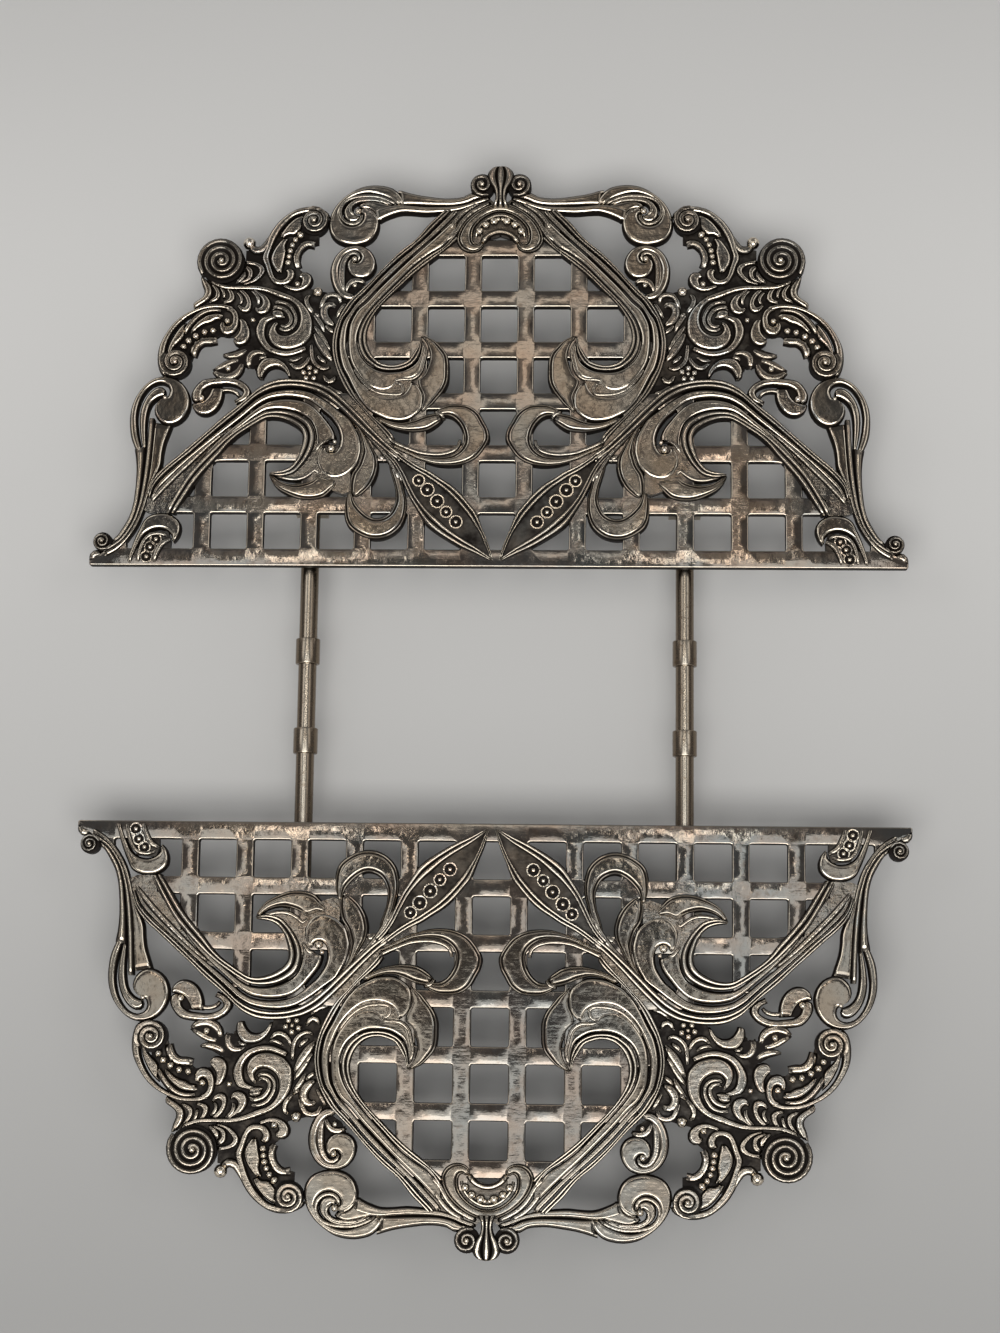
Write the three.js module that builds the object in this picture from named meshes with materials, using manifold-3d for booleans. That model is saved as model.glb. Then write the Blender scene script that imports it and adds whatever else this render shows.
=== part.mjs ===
// Expandable trivet: two openwork half plates that slide apart on two round rods.
// Millimetres, +Z up, floor at z = 0, origin on the floor midway between the half plates.
import * as THREE from "three";
import * as BufferGeometryUtils from "three/addons/utils/BufferGeometryUtils.js";
import Module from "manifold-3d";

const wasm = await Module();
wasm.setup();

// Half plate
const HALF_WIDTH = 107.8; // from the middle to the tip of the toe
const DEPTH = 110; // from the straight edge to the top of the knob
const FOOT_HEIGHT = 15; // floor to the underside of the plate
const LATTICE_PITCH = 14.2;
const HOLE_SIDE = 9.7;
const EDGE_BAR_WIDTH = 4.7;
const BAR_THICKNESS = 2.6;
const EDGE_BAR_THICKNESS = 3;
const GROUND_THICKNESS = 1.8; // sunk ground between the leaves
const LEAF_THICKNESS = 4.2; // plate underside to the top of a leaf
const REED_THICKNESS = 4.6;
const NARROW_LEAF_THICKNESS = 3.6;
const BOSS_THICKNESS = 5.4;
const REED_BEVEL = 0.6;
const EDGE_OVERLAP = 0.45; // how far a leaf runs into its neighbours

// Slide
const OPEN_GAP = 67.5; // between the straight edges, fully drawn out
const CLOSED_GAP = 0.6; // between the straight edges, pushed together
const ROD_DIAMETER = 4.8;
const RUNNING_CLEARANCE = 0.25; // rod to guide bore, on the radius
const PRESS_GAP = 0.3; // rod to the bore of a ring that is fixed on it
const STOP_GAP = 0.3; // stop face to guide face at the end of the travel
const GUIDE_SETBACK = 15.3; // straight edge to the near face of a guide
const GUIDE_LENGTH = 14.5;
const GUIDE_WALL = 1.6;
const GUIDE_ROOF = 1;
const COLLAR_DIAMETER = 6.4;
const COLLAR_LENGTH = 6.8;
const END_STOP_DIAMETER = 6.8;
const END_STOP_LENGTH = 3;

// Feet
const FOOT_ACROSS = 60; // from the middle line
const FOOT_BACK = 65.5; // from the straight edge
const FOOT_TOP_DIAMETER = 10;
const FOOT_WAIST_DIAMETER = 6;
const FOOT_PAD_DIAMETER = 8.4;
const FOOT_PAD_HEIGHT = 2.4;

// The ornament is drawn on a plate 107.8 across from the middle and 110 deep.
const DRAWN_HALF_WIDTH = 107.8;
const DRAWN_DEPTH = 110;
const ACROSS = HALF_WIDTH / DRAWN_HALF_WIDTH;
const BACK = DEPTH / DRAWN_DEPTH;

const SLICES_PER_PAIR = 0.55;
const STOCK = 4; // height of the stock that is cut off above and below the plate
const ROD_SIDES = 14;
const ROD_ACROSS = 3.5 * LATTICE_PITCH; // under the fourth bar from the middle
const BORE_RADIUS = ROD_DIAMETER / 2 + RUNNING_CLEARANCE;
const ROD_HEIGHT = FOOT_HEIGHT - GUIDE_ROOF - BORE_RADIUS;
const GUIDE_BACK = GUIDE_SETBACK + GUIDE_LENGTH;
const ROD_HALF_LENGTH = OPEN_GAP / 2 + GUIDE_BACK + STOP_GAP + END_STOP_LENGTH;
const COLLAR_OUTER_END = CLOSED_GAP / 2 + GUIDE_SETBACK - STOP_GAP;

const silver = { color: 0xa8a294, roughness: 0.32, metalness: 1 };
const nickel = { color: 0x9b8f7c, roughness: 0.3, metalness: 1 };
const underside = { color: 0x8d8676, roughness: 0.5, metalness: 1 };

// Leaves and reeds of one quarter, as pairs of points on their two edges:
// [x, y, x, y], x from the middle line and y from the straight edge.
const LEAVES = {
  lobed_leaf_back: [
    [20.8, 63.1, 20.4, 62.5], [16.6, 61.2, 18.6, 59.8], [13.7, 57.8, 18, 56.6], [13.1, 53.4, 18.8, 53.8],
    [13.9, 48.6, 21.2, 50.2], [16.4, 45, 20.2, 46.6], [19.8, 42.2, 20.3, 43],
  ],
  middle_crescent: [
    [17, 41.6, 16.5, 41.1], [13, 43.9, 13.6, 40.9], [8.6, 43.9, 11.2, 39.6], [4.6, 40.9, 9.5, 37],
    [2.4, 36.2, 9.2, 34], [3.2, 32.4, 10.2, 31.8], [6.6, 28.6, 13, 30.3], [11.6, 27.2, 17.4, 30.2],
    [17.4, 27.7, 22, 31.3], [22.6, 29.6, 26, 32.9], [27.4, 31.8, 29.6, 34.8],
  ],
  middle_leaf: [
    [16.9, 41.4, 14.9, 39.8], [20.2, 41.1, 17.6, 37.2], [24.2, 38.9, 21.6, 36.3], [28.4, 38.7, 26.4, 36.9],
    [32.6, 40.9, 31.2, 39], [35.4, 42.7, 34.6, 41.4],
  ],
  edge_crescent: [
    [30.2, 34, 31.9, 33.2], [27.4, 29.6, 29.8, 29.9], [25.6, 25.4, 28.2, 25.4], [24.3, 20.6, 26.9, 20.4],
    [23.7, 15.6, 27.4, 16.4], [25.2, 10.6, 29.6, 13.8], [29.4, 7.4, 32.6, 13.2], [34.4, 7.5, 35.2, 14.8],
    [38.8, 10.4, 37.2, 17.2], [40.3, 15.2, 38.4, 19.4], [39.4, 21.1, 38.8, 20.5],
  ],
  narrow_leaf: [
    [38.2, 40.4, 39, 40.1], [35.4, 36.4, 37.2, 36.6], [32.8, 32.4, 36, 32.6], [31.5, 28.6, 36.4, 29.2],
    [31.9, 24.6, 37.9, 26.2], [33.9, 20.9, 38.9, 23.6], [36.8, 18.8, 39.3, 21.6],
  ],
  curled_leaf: [
    [42.6, 43.9, 47.6, 43.6], [39.4, 40.8, 45, 40.7], [37.2, 36.9, 42.7, 37.4], [36, 32.6, 42, 34],
    [36.6, 28.2, 42.1, 31.6], [39.2, 24.9, 43.4, 30.3], [43.2, 23.4, 44.9, 30.3], [46.4, 24.9, 45.7, 31.4],
    [48, 28, 45.4, 32.8],
  ],
  half_moon: [
    [42.5, 22.9, 42.4, 22.4], [45.4, 23.3, 44, 20], [47.8, 24.1, 47.2, 18], [50.6, 22.4, 51.4, 17.8],
    [54.2, 21.7, 55.2, 19.1], [57.6, 22.5, 58.2, 21.1], [60.2, 24.9, 60.5, 24.4],
  ],
  corner_fan: [
    [85.4, 6.5, 86, 6.9], [83.6, 9.2, 86.4, 8.9], [84.6, 12.7, 88, 9.7], [88.3, 14.2, 90.2, 9.6],
    [92.4, 13.2, 92.6, 8.6], [95.3, 8.6, 94.6, 5.9], [97, 3.8, 96, 2.4], [97.9, 0.2, 96.8, 0.2],
  ],
  side_arm: [
    [87.4, 37.6, 93.4, 38.6], [88.6, 32.4, 93.6, 32.4], [89.2, 27.4, 93.6, 26.8], [90.6, 22.8, 94.4, 21],
    [92.4, 17.6, 95.4, 16], [93.9, 12.8, 97, 11.8], [96, 8.4, 99.6, 7.9], [98.8, 4.4, 102, 6.4],
    [102.4, 2.2, 103.8, 3.9],
  ],
  side_hook: [
    [94.7, 30.2, 94.2, 30.3], [97.3, 32.6, 93.9, 33], [98.3, 38, 94.1, 38.4], [97.4, 43.8, 93.8, 42.6],
    [94.6, 48, 92.6, 44.9], [91, 49.6, 91.2, 45.5], [88.4, 48.4, 90.2, 45.2], [87.8, 46.2, 89.2, 44.9],
  ],
  top_arm: [
    [8.6, 103, 3.2, 101.4], [11, 101.9, 9, 98.6], [15.4, 101.7, 14, 97.2], [20.4, 102.3, 20.2, 96.8],
    [24.8, 103.3, 26, 97], [30, 101.6, 30.6, 95.8], [34.6, 100.9, 34, 95.2], [38, 100.4, 37.4, 96.4],
  ],
  top_hook: [
    [26.6, 99.1, 27.1, 99.4], [28.8, 103.8, 30, 101.2], [33.4, 105.2, 33.8, 100.8], [38.2, 104.6, 38, 100.4],
    [42.6, 102, 40.3, 99.2], [45.4, 98.4, 40.6, 97.6], [46.3, 95, 39.9, 96.7],
  ],
  shell_rim: [
    [46.6, 97.4, 47.8, 96], [50.2, 99.2, 50.5, 97.4], [54.4, 98.9, 53.8, 96.8], [58.2, 96.6, 56.8, 94.8],
    [61, 93.6, 58.8, 92.2], [62.9, 90.6, 59.8, 89.6], [63, 88.2, 60.6, 87.8], [64, 85.2, 61.6, 85],
    [63.2, 81.8, 61, 82.4], [61.6, 78.4, 60.2, 80], [58.4, 76.9, 58.4, 78.8], [55.8, 78.2, 57.4, 79.8],
    [55.2, 80.8, 57.5, 81.4],
  ],
  spiral_leaf: [
    [77, 78.2, 77, 77.5], [67.6, 77.1, 67.6, 76], [62.6, 76.7, 63.2, 75.2], [57.8, 75.2, 59, 73.6],
    [53.6, 72.9, 56, 71.9], [50.6, 69.3, 54.2, 69.7], [49.8, 65, 53.6, 66.8], [51, 61.5, 54.8, 64.4],
    [54.2, 59.4, 57.2, 63.6], [58.2, 59.1, 59.4, 64.4], [61.2, 61, 60.4, 65.4], [62, 63.8, 60.2, 66.4],
    [61, 66, 59.8, 67],
  ],
  outer_shell_curl: [
    [75, 64.4, 74.9, 66.4], [73.6, 62.6, 73.6, 66], [71, 63.6, 72.4, 65.9], [69.9, 66.4, 71.8, 67],
    [70.6, 69.8, 72.4, 69], [73.6, 71.6, 74.4, 69.6], [77.6, 71.5, 77.8, 67.6], [81.4, 70.2, 80.6, 65.8],
    [84.6, 68.2, 82.8, 63.8], [87.4, 65.6, 85, 61.8], [89.8, 62, 87.2, 60], [91.4, 58, 88.6, 58],
    [91.2, 54.4, 88.8, 56], [90, 51.7, 88.2, 53.4],
  ],
  scroll_leaf: [
    [69.6, 44.5, 68.6, 46.4], [66.6, 45.8, 68.3, 47], [66, 47.6, 68.6, 47.9], [67.8, 50, 70.2, 49],
    [71.4, 51.4, 72.8, 49.6], [76, 51.4, 75.4, 49], [80, 50.3, 77.8, 48.4], [82, 47.2, 78.5, 46.8],
    [81.2, 44.7, 78.3, 45.2],
  ],
  small_moon: [
    [55.6, 51.6, 56, 51.8], [56.4, 54.4, 57.6, 53.8], [58.8, 56.7, 59.4, 54.4], [62.2, 57, 61, 53.9],
    [64.6, 54.8, 62.2, 52.7], [64.6, 51.6, 62.8, 51.3],
  ],
};

// Reeds of the two diagonal stems, as pairs of points on their two edges.
const REEDS = {
  stem_inner: [
    [13.6, 93.6, 12, 88.2], [24, 84.8, 23.4, 79.6], [32.1, 76.6, 30, 73.2], [38, 70.4, 34.4, 66.8],
    [40.4, 63, 35.3, 61.7], [39.6, 56, 33.6, 57.4], [35.5, 50, 30.4, 55], [29.5, 46.8, 25.8, 55.4],
    [25, 49.4, 22, 59], [20.2, 61.5, 20.9, 62.6],
  ],
  stem_outer: [
    [16.8, 96.6, 12.8, 95], [22.8, 89.9, 19.4, 88.3], [30.8, 82.5, 28, 80], [37.5, 75.4, 35.2, 72.2],
    [41.7, 70.4, 38.9, 68], [44.4, 63, 40.1, 62.8], [43.6, 54.6, 39.4, 56.3], [40.8, 48.1, 36.6, 51.4],
    [36.5, 43, 33, 47.8], [31.5, 40.2, 29, 47], [26, 39.2, 26, 47.6], [21.5, 41, 24.8, 48.6],
    [19.8, 45, 23.9, 50], [21.8, 50, 22.8, 50.2],
  ],
  crescent_stem: [
    [60.6, 24.9, 60, 25.7], [55.5, 24.4, 56, 27.6], [50, 29.8, 52.6, 31.4], [48.4, 35, 51.8, 34.6],
    [50.5, 40.2, 54, 38.4], [54.5, 43.8, 57.2, 40], [60, 44.9, 61, 39.6], [65.5, 42.8, 65, 38],
    [73, 36.8, 70.6, 34], [80.6, 28.8, 77.6, 25.4], [86.8, 20, 83, 17.4], [89.6, 14, 85.6, 13.9],
  ],
  long_reed_back: [
    [0.6, 1.8, 1.4, 2.1], [5.1, 14.1, 7.4, 13.4], [9.4, 19.5, 11.4, 17.9], [15, 23.8, 16.6, 22],
    [21, 27.3, 22, 25.6], [25.4, 30.6, 26.6, 29.2], [30.6, 35.4, 32, 34.2], [36.4, 42, 37.8, 40.8],
    [41.4, 46.6, 42.6, 45.2], [47, 50, 47.6, 48], [54.4, 50.9, 54.4, 48.9], [60.6, 50.1, 60, 48],
    [66.4, 46.1, 65.2, 44.6], [76.8, 37.4, 75.6, 36], [88.8, 26.6, 87.4, 25.4], [93, 20, 91.8, 19.4],
  ],
  long_reed_front: [
    [0.9, 1.4, 1.3, 2], [9.6, 5.3, 9, 7.6], [18.2, 10.9, 17, 13.1], [22.6, 17.4, 20.8, 18.3],
    [25.2, 23.4, 23.6, 24], [28.2, 28.8, 27, 29.4], [33.8, 34.6, 32.6, 35.6], [39.4, 40.4, 38, 41.4],
    [45.8, 44.6, 44.8, 46.2], [51, 45.6, 50.8, 47.8], [57.4, 46.2, 57.4, 48.6], [63.2, 43.8, 64, 46],
    [71.4, 37.6, 72.6, 39.4], [82.4, 27.4, 83.6, 28.8], [92.4, 15.6, 93.4, 18.6],
  ],
};

// Narrow leaves, as points on their middle lines with half widths: [x, y, half width].
const NARROW_LEAVES = [
  [[9.8, 11, 0.8], [15.7, 17.6, 1.3], [21.4, 24, 0.8]],
  [[62.9, 90.2, 0.6], [65.2, 87.4, 1.3], [69, 88, 1.6]],
  [[68, 83.3, 0.5], [64.2, 81, 1], [68.3, 77.4, 0.6]],
];

// Bosses: [x, y, half width, half depth]
const BOSSES = [
  [0, 106.2, 3.7, 3.8],
  [5, 104.9, 3.1, 3.1],
  [39.6, 94.2, 6.8, 5.9],
  [37.7, 82.4, 3.9, 3.9],
  [87.4, 44.8, 5.3, 7],
  [77.8, 44, 3.8, 3.4],
  [104.2, 6, 2.6, 2.6],
];

// Volutes: [x, y, radius]
const VOLUTES = [
  [50.3, 94.6, 3.9],
  [74.9, 83.7, 6.2],
  [86.6, 55.2, 4.2],
];

// Outlines of the sunk ground between the leaves.
const GROUNDS = [
  // Dense field between the stems, the shells and the volute
  [
    [40, 46.5], [46, 49.4], [55, 50.6], [55.9, 52.2], [57.2, 54], [59.6, 54.8], [61.8, 53.8], [63, 51.6],
    [65, 52.6], [68, 54.2], [69.6, 55], [70.4, 59.8], [71.2, 62.6], [75, 62.6], [75.4, 61.2], [79.4, 60.6],
    [81.2, 57.4], [84, 57.6], [86.6, 59], [84, 65], [79.4, 72.4], [79.6, 78.6], [70, 80], [69.4, 83.2],
    [64.4, 83.2], [64.4, 84.9], [68.4, 84.9], [68.6, 87], [63.4, 88.4], [59.4, 92.4], [53, 96], [49, 92],
    [49, 88.6], [53.4, 88], [54.4, 82], [52.6, 80.4], [51, 76.4], [46.8, 75.6], [43, 74.4], [38.6, 74.4],
    [40.4, 70], [43.6, 62], [43, 54],
  ],
  // Bed of the beaded pod
  [[0.8, 1.9], [6, 13.4], [12, 20.2], [21.6, 26.6], [26.4, 28.4], [23.4, 21], [17.6, 12.2], [9.4, 6.6]],
  // Cartouche at the top of the middle line
  [
    [-0.4, 99.4], [3, 101.8], [8, 99], [14, 97.8], [16.4, 92], [14.6, 89], [11, 87.6], [6, 87.4],
    [4.6, 89.8], [-0.4, 91.4],
  ],
  // Pod under the top boss
  [[35, 86.4], [40, 87.6], [43.6, 84], [44.2, 78], [41, 73.8], [36.6, 76.4], [33.8, 80.6]],
  // Corner fan
  [[86, 6.8], [87, 9.4], [92, 9.2], [96.4, 0.2], [86, 0.2]],
  // Web between the reeds at the corner
  [[82, 21.6], [87.4, 13.6], [93.8, 14.4], [92.6, 21], [87, 25.4]],
  // Root of the scroll leaf on the stem
  [[64, 47.5], [66.5, 44], [70.6, 42.6], [70.6, 46.5], [67.5, 48.5], [64.5, 50]],
  // Web between the curled leaf, the half moon and the edge crescent
  [[38.4, 19.8], [40.6, 18.4], [44.4, 18.6], [49, 22], [49.6, 28], [46, 26], [39, 25.4]],
];

// Where the lattice shows or runs under the leaves, right half
const LATTICE_EDGE = [
  [86, 0.1], [85, 14], [74, 29], [62, 40], [46, 44], [37, 48], [36.4, 62], [33, 71], [22, 81.6], [12, 88.6], [8, 90],
];

// Turns a closed three.js shape into a solid, with its faces outwards.
function solidFrom(shape) {
  const geometry = shape.clone();
  geometry.deleteAttribute("normal");
  geometry.deleteAttribute("uv");
  const merged = BufferGeometryUtils.mergeVertices(geometry, 1e-5);
  const points = merged.attributes.position.array;
  const corners = new Uint32Array(merged.index.array);
  if (signedVolume(points, corners) < 0) {
    for (let i = 0; i < corners.length; i += 3) {
      const first = corners[i];
      corners[i] = corners[i + 1];
      corners[i + 1] = first;
    }
  }
  const mesh = new wasm.Mesh({
    numProp: 3,
    vertProperties: new Float32Array(points),
    triVerts: corners,
  });
  return new wasm.Manifold(mesh);
}

function signedVolume(points, corners) {
  const [a, b, c] = [new THREE.Vector3(), new THREE.Vector3(), new THREE.Vector3()];
  let volume = 0;
  for (let i = 0; i < corners.length; i += 3) {
    a.fromArray(points, corners[i] * 3);
    b.fromArray(points, corners[i + 1] * 3);
    c.fromArray(points, corners[i + 2] * 3);
    volume += a.dot(b.cross(c)) / 6;
  }
  return volume;
}

function geometryFrom(solid) {
  const mesh = solid.getMesh();
  const geometry = new THREE.BufferGeometry();
  geometry.setAttribute("position", new THREE.BufferAttribute(new Float32Array(mesh.vertProperties), 3));
  geometry.setIndex(new THREE.BufferAttribute(new Uint32Array(mesh.triVerts), 1));
  geometry.computeVertexNormals();
  return geometry;
}

function joined(solids) {
  return solids.reduce((whole, solid) => whole.add(solid));
}

// Cuts a group of solids to one height, so that they share one flat top.
function cutAbove(solid, thickness) {
  const slab = new THREE.BoxGeometry(4 * HALF_WIDTH, 4 * DEPTH, STOCK);
  slab.translate(0, 0, FOOT_HEIGHT + thickness + STOCK / 2);
  return solid.subtract(solidFrom(slab));
}

// Cuts the stock off below the plate, so that it has one flat underside.
function cutBelow(solid) {
  const slab = new THREE.BoxGeometry(4 * HALF_WIDTH, 4 * DEPTH, STOCK);
  slab.translate(0, 0, FOOT_HEIGHT - STOCK / 2);
  return solid.subtract(solidFrom(slab));
}

// An upright prism from below the underside to above its own top.
function flatPlate(outline, thickness) {
  const points = outline.map(([x, y]) => new THREE.Vector2(x * ACROSS, y * BACK));
  const height = thickness + STOCK;
  const geometry = new THREE.ExtrudeGeometry(new THREE.Shape(points), { depth: height, bevelEnabled: false });
  geometry.translate(0, 0, FOOT_HEIGHT - STOCK / 2);
  return solidFrom(geometry);
}

// A box bent along two edge curves, run into its neighbours a little, with a bevel at its top edges.
function leafBetween(edgeA, edgeB, slices, thickness, bevel) {
  const box = new THREE.BoxGeometry(1, 1, 1, slices, 1, 1);
  const corner = box.attributes.position;
  for (let i = 0; i < corner.count; i++) {
    const along = corner.getX(i) + 0.5;
    const a = edgeA.getPoint(along);
    const b = edgeB.getPoint(along);
    const width = a.distanceTo(b);
    const onTop = corner.getZ(i) > 0;
    const inset = onTop ? Math.min(bevel, width / 3) - EDGE_OVERLAP : -EDGE_OVERLAP;
    const share = (corner.getY(i) > 0 ? width - inset : inset) / width;
    const spot = a.lerp(b, share);
    corner.setXYZ(i, spot.x, spot.y, FOOT_HEIGHT + (onTop ? thickness : -STOCK / 2));
  }
  return solidFrom(box);
}

function leafFromPairs(pairs, thickness, bevel) {
  const edgeA = new THREE.SplineCurve(pairs.map(([x, y]) => new THREE.Vector2(x * ACROSS, y * BACK)));
  const edgeB = new THREE.SplineCurve(pairs.map((pair) => new THREE.Vector2(pair[2] * ACROSS, pair[3] * BACK)));
  const slices = Math.ceil((pairs.length - 1) * SLICES_PER_PAIR);
  return leafBetween(edgeA, edgeB, slices, thickness, bevel);
}

// A leaf on a middle line: its edges stand off to both sides by the half width.
function leafFromLine(line, thickness) {
  const middle = new THREE.SplineCurve(line.map(([x, y]) => new THREE.Vector2(x * ACROSS, y * BACK)));
  const widths = new THREE.SplineCurve(line.map((point, i) => new THREE.Vector2(i, point[2])));
  const edge = (side) => ({
    getPoint(along) {
      const direction = middle.getTangent(along);
      const reach = widths.getPoint(along).y * side;
      return middle.getPoint(along).add(new THREE.Vector2(-direction.y, direction.x).multiplyScalar(reach));
    },
  });
  return leafBetween(edge(1), edge(-1), line.length, thickness, 0);
}

// A volute: a raised round rim, a sunk ring inside it and an eye.
function volute([x, y, radius]) {
  const profile = [
    new THREE.Vector2(0, -STOCK / 2),
    new THREE.Vector2(radius, -STOCK / 2),
    new THREE.Vector2(radius, LEAF_THICKNESS),
    new THREE.Vector2(radius * 0.72, LEAF_THICKNESS),
    new THREE.Vector2(radius * 0.56, GROUND_THICKNESS),
    new THREE.Vector2(0, LEAF_THICKNESS),
  ];
  return turnedAt(x, y, profile, 10);
}

// A round boss with a domed top, stretched to its half width and half depth.
function dome([x, y, halfWidth, halfDepth], thickness) {
  const profile = [
    new THREE.Vector2(0, -STOCK / 2),
    new THREE.Vector2(1, -STOCK / 2),
    new THREE.Vector2(1, thickness * 0.6),
    new THREE.Vector2(0.7, thickness * 0.9),
    new THREE.Vector2(0, thickness),
  ];
  return turnedAt(x, y, profile, 9, halfWidth, halfDepth);
}

// A profile turned about an upright axis through a place on the drawn plate.
function turnedAt(x, y, profile, sides, halfWidth = 1, halfDepth = 1) {
  const geometry = new THREE.LatheGeometry(profile, sides);
  geometry.rotateX(Math.PI / 2);
  geometry.scale(halfWidth, halfDepth, 1);
  geometry.translate(x * ACROSS, y * BACK, FOOT_HEIGHT);
  return solidFrom(geometry);
}

function quarterOrnament() {
  const leaves = Object.values(LEAVES).map((pairs) => leafFromPairs(pairs, LEAF_THICKNESS + STOCK / 2, 0));
  const reeds = Object.values(REEDS).map((pairs) => leafFromPairs(pairs, REED_THICKNESS, REED_BEVEL));
  const narrow = NARROW_LEAVES.map((line) => leafFromLine(line, NARROW_LEAF_THICKNESS));
  const bosses = BOSSES.map((boss) => dome(boss, BOSS_THICKNESS));
  const volutes = VOLUTES.map((scroll) => volute(scroll));
  const grounds = GROUNDS.map((outline) => flatPlate(outline, GROUND_THICKNESS));
  const field = cutAbove(joined(leaves), LEAF_THICKNESS);
  const floor = cutAbove(joined(grounds), GROUND_THICKNESS);
  return joined([field, floor, ...reeds, ...narrow, ...bosses, ...volutes]);
}

function lattice() {
  const mirrorImage = LATTICE_EDGE.map(([x, y]) => [-x, y]).reverse();
  let plate = flatPlate([...LATTICE_EDGE, ...mirrorImage], BAR_THICKNESS);
  const rows = Math.ceil(DEPTH / LATTICE_PITCH);
  const columns = Math.ceil(HALF_WIDTH / LATTICE_PITCH);
  const hole = new THREE.BoxGeometry(HOLE_SIDE, HOLE_SIDE, BAR_THICKNESS + 4 * STOCK);
  for (let column = -columns; column <= columns; column++) {
    for (let row = 0; row < rows; row++) {
      const cut = hole.clone();
      const back = EDGE_BAR_WIDTH + HOLE_SIDE / 2 + row * LATTICE_PITCH;
      cut.translate(column * LATTICE_PITCH, back, FOOT_HEIGHT);
      plate = plate.subtract(solidFrom(cut));
    }
  }
  return cutAbove(plate, BAR_THICKNESS);
}

// The bar along the straight edge, with a toe at each end.
function edgeBar() {
  const toe = [
    [0, 0], [107.8, 0], [107.8, 1.3], [106.6, 3.8], [103, 3.4], [98.4, 4.6], [84, 4.7], [0, 4.7],
  ];
  const right = toe.slice(1, -1).map(([x, y]) => new THREE.Vector2(x * ACROSS, (y / 4.7) * EDGE_BAR_WIDTH));
  const left = right.map((point) => new THREE.Vector2(-point.x, point.y)).reverse();
  const outline = new THREE.Shape([...right, ...left]);
  const height = EDGE_BAR_THICKNESS + STOCK / 2;
  const geometry = new THREE.ExtrudeGeometry(outline, { depth: height, bevelEnabled: false });
  geometry.translate(0, 0, FOOT_HEIGHT - STOCK / 2);
  return solidFrom(geometry);
}

function halfPlate() {
  const right = quarterOrnament();
  const leftGeometry = geometryFrom(right).scale(-1, 1, 1);
  const left = solidFrom(leftGeometry);
  return geometryFrom(cutBelow(joined([lattice(), edgeBar(), right, left])));
}

function rod() {
  return new THREE.CylinderGeometry(ROD_DIAMETER / 2, ROD_DIAMETER / 2, 2 * ROD_HALF_LENGTH, ROD_SIDES);
}

// A ring round the rod.
function ring(diameter, length) {
  const outer = diameter / 2;
  const inner = (ROD_DIAMETER / 2 + PRESS_GAP) / Math.cos(Math.PI / ROD_SIDES);
  const profile = [
    new THREE.Vector2(inner, -length / 2),
    new THREE.Vector2(outer, -length / 2),
    new THREE.Vector2(outer, length / 2),
    new THREE.Vector2(inner, length / 2),
    new THREE.Vector2(inner, -length / 2),
  ];
  return new THREE.LatheGeometry(profile, ROD_SIDES);
}

// A block soldered under the plate, bored for the rod.
function guide() {
  const width = 2 * (BORE_RADIUS + GUIDE_WALL);
  const height = GUIDE_ROOF + 2 * BORE_RADIUS + GUIDE_WALL;
  const block = new THREE.BoxGeometry(width, GUIDE_LENGTH, height);
  block.translate(0, 0, FOOT_HEIGHT - height / 2);
  const boreCorner = BORE_RADIUS / Math.cos(Math.PI / ROD_SIDES);
  const bore = new THREE.CylinderGeometry(boreCorner, boreCorner, GUIDE_LENGTH * 1.5, ROD_SIDES);
  bore.translate(0, 0, ROD_HEIGHT);
  return geometryFrom(solidFrom(block).subtract(solidFrom(bore)));
}

function foot() {
  const waist = FOOT_PAD_HEIGHT + (FOOT_HEIGHT - FOOT_PAD_HEIGHT) * 0.35;
  const profile = [
    new THREE.Vector2(0, 0),
    new THREE.Vector2(FOOT_PAD_DIAMETER / 2 - 0.6, 0),
    new THREE.Vector2(FOOT_PAD_DIAMETER / 2, 0.6),
    new THREE.Vector2(FOOT_PAD_DIAMETER / 2, FOOT_PAD_HEIGHT),
    new THREE.Vector2(FOOT_WAIST_DIAMETER / 2, waist),
    new THREE.Vector2(FOOT_TOP_DIAMETER / 2, FOOT_HEIGHT),
    new THREE.Vector2(0, FOOT_HEIGHT),
  ];
  const geometry = new THREE.LatheGeometry(profile, 12);
  geometry.rotateX(Math.PI / 2);
  return geometry;
}

function named(name, geometry, finish) {
  const mesh = new THREE.Mesh(geometry, new THREE.MeshStandardMaterial({ ...finish, flatShading: true }));
  mesh.name = name;
  return mesh;
}

const plateGeometry = halfPlate();
const guideGeometry = guide();
const footGeometry = foot();

// One half in its own frame: the straight edge on y = 0 and the ornament towards +Y.
function half(name, turned) {
  const group = new THREE.Group();
  group.add(named(`${name}_half_plate`, plateGeometry, silver));
  for (const side of [-1, 1]) {
    const hand = side * (turned ? -1 : 1) < 0 ? "left" : "right";
    const guideBlock = named(`${name}_${hand}_guide`, guideGeometry, underside);
    guideBlock.position.set(side * ROD_ACROSS, GUIDE_SETBACK + GUIDE_LENGTH / 2, 0);
    const leg = named(`${name}_${hand}_foot`, footGeometry, underside);
    leg.position.set(side * FOOT_ACROSS * ACROSS, FOOT_BACK * BACK, 0);
    group.add(guideBlock, leg);
  }
  group.rotation.z = turned ? Math.PI : 0;
  group.position.y = (turned ? -1 : 1) * (OPEN_GAP / 2);
  return group;
}

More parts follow.
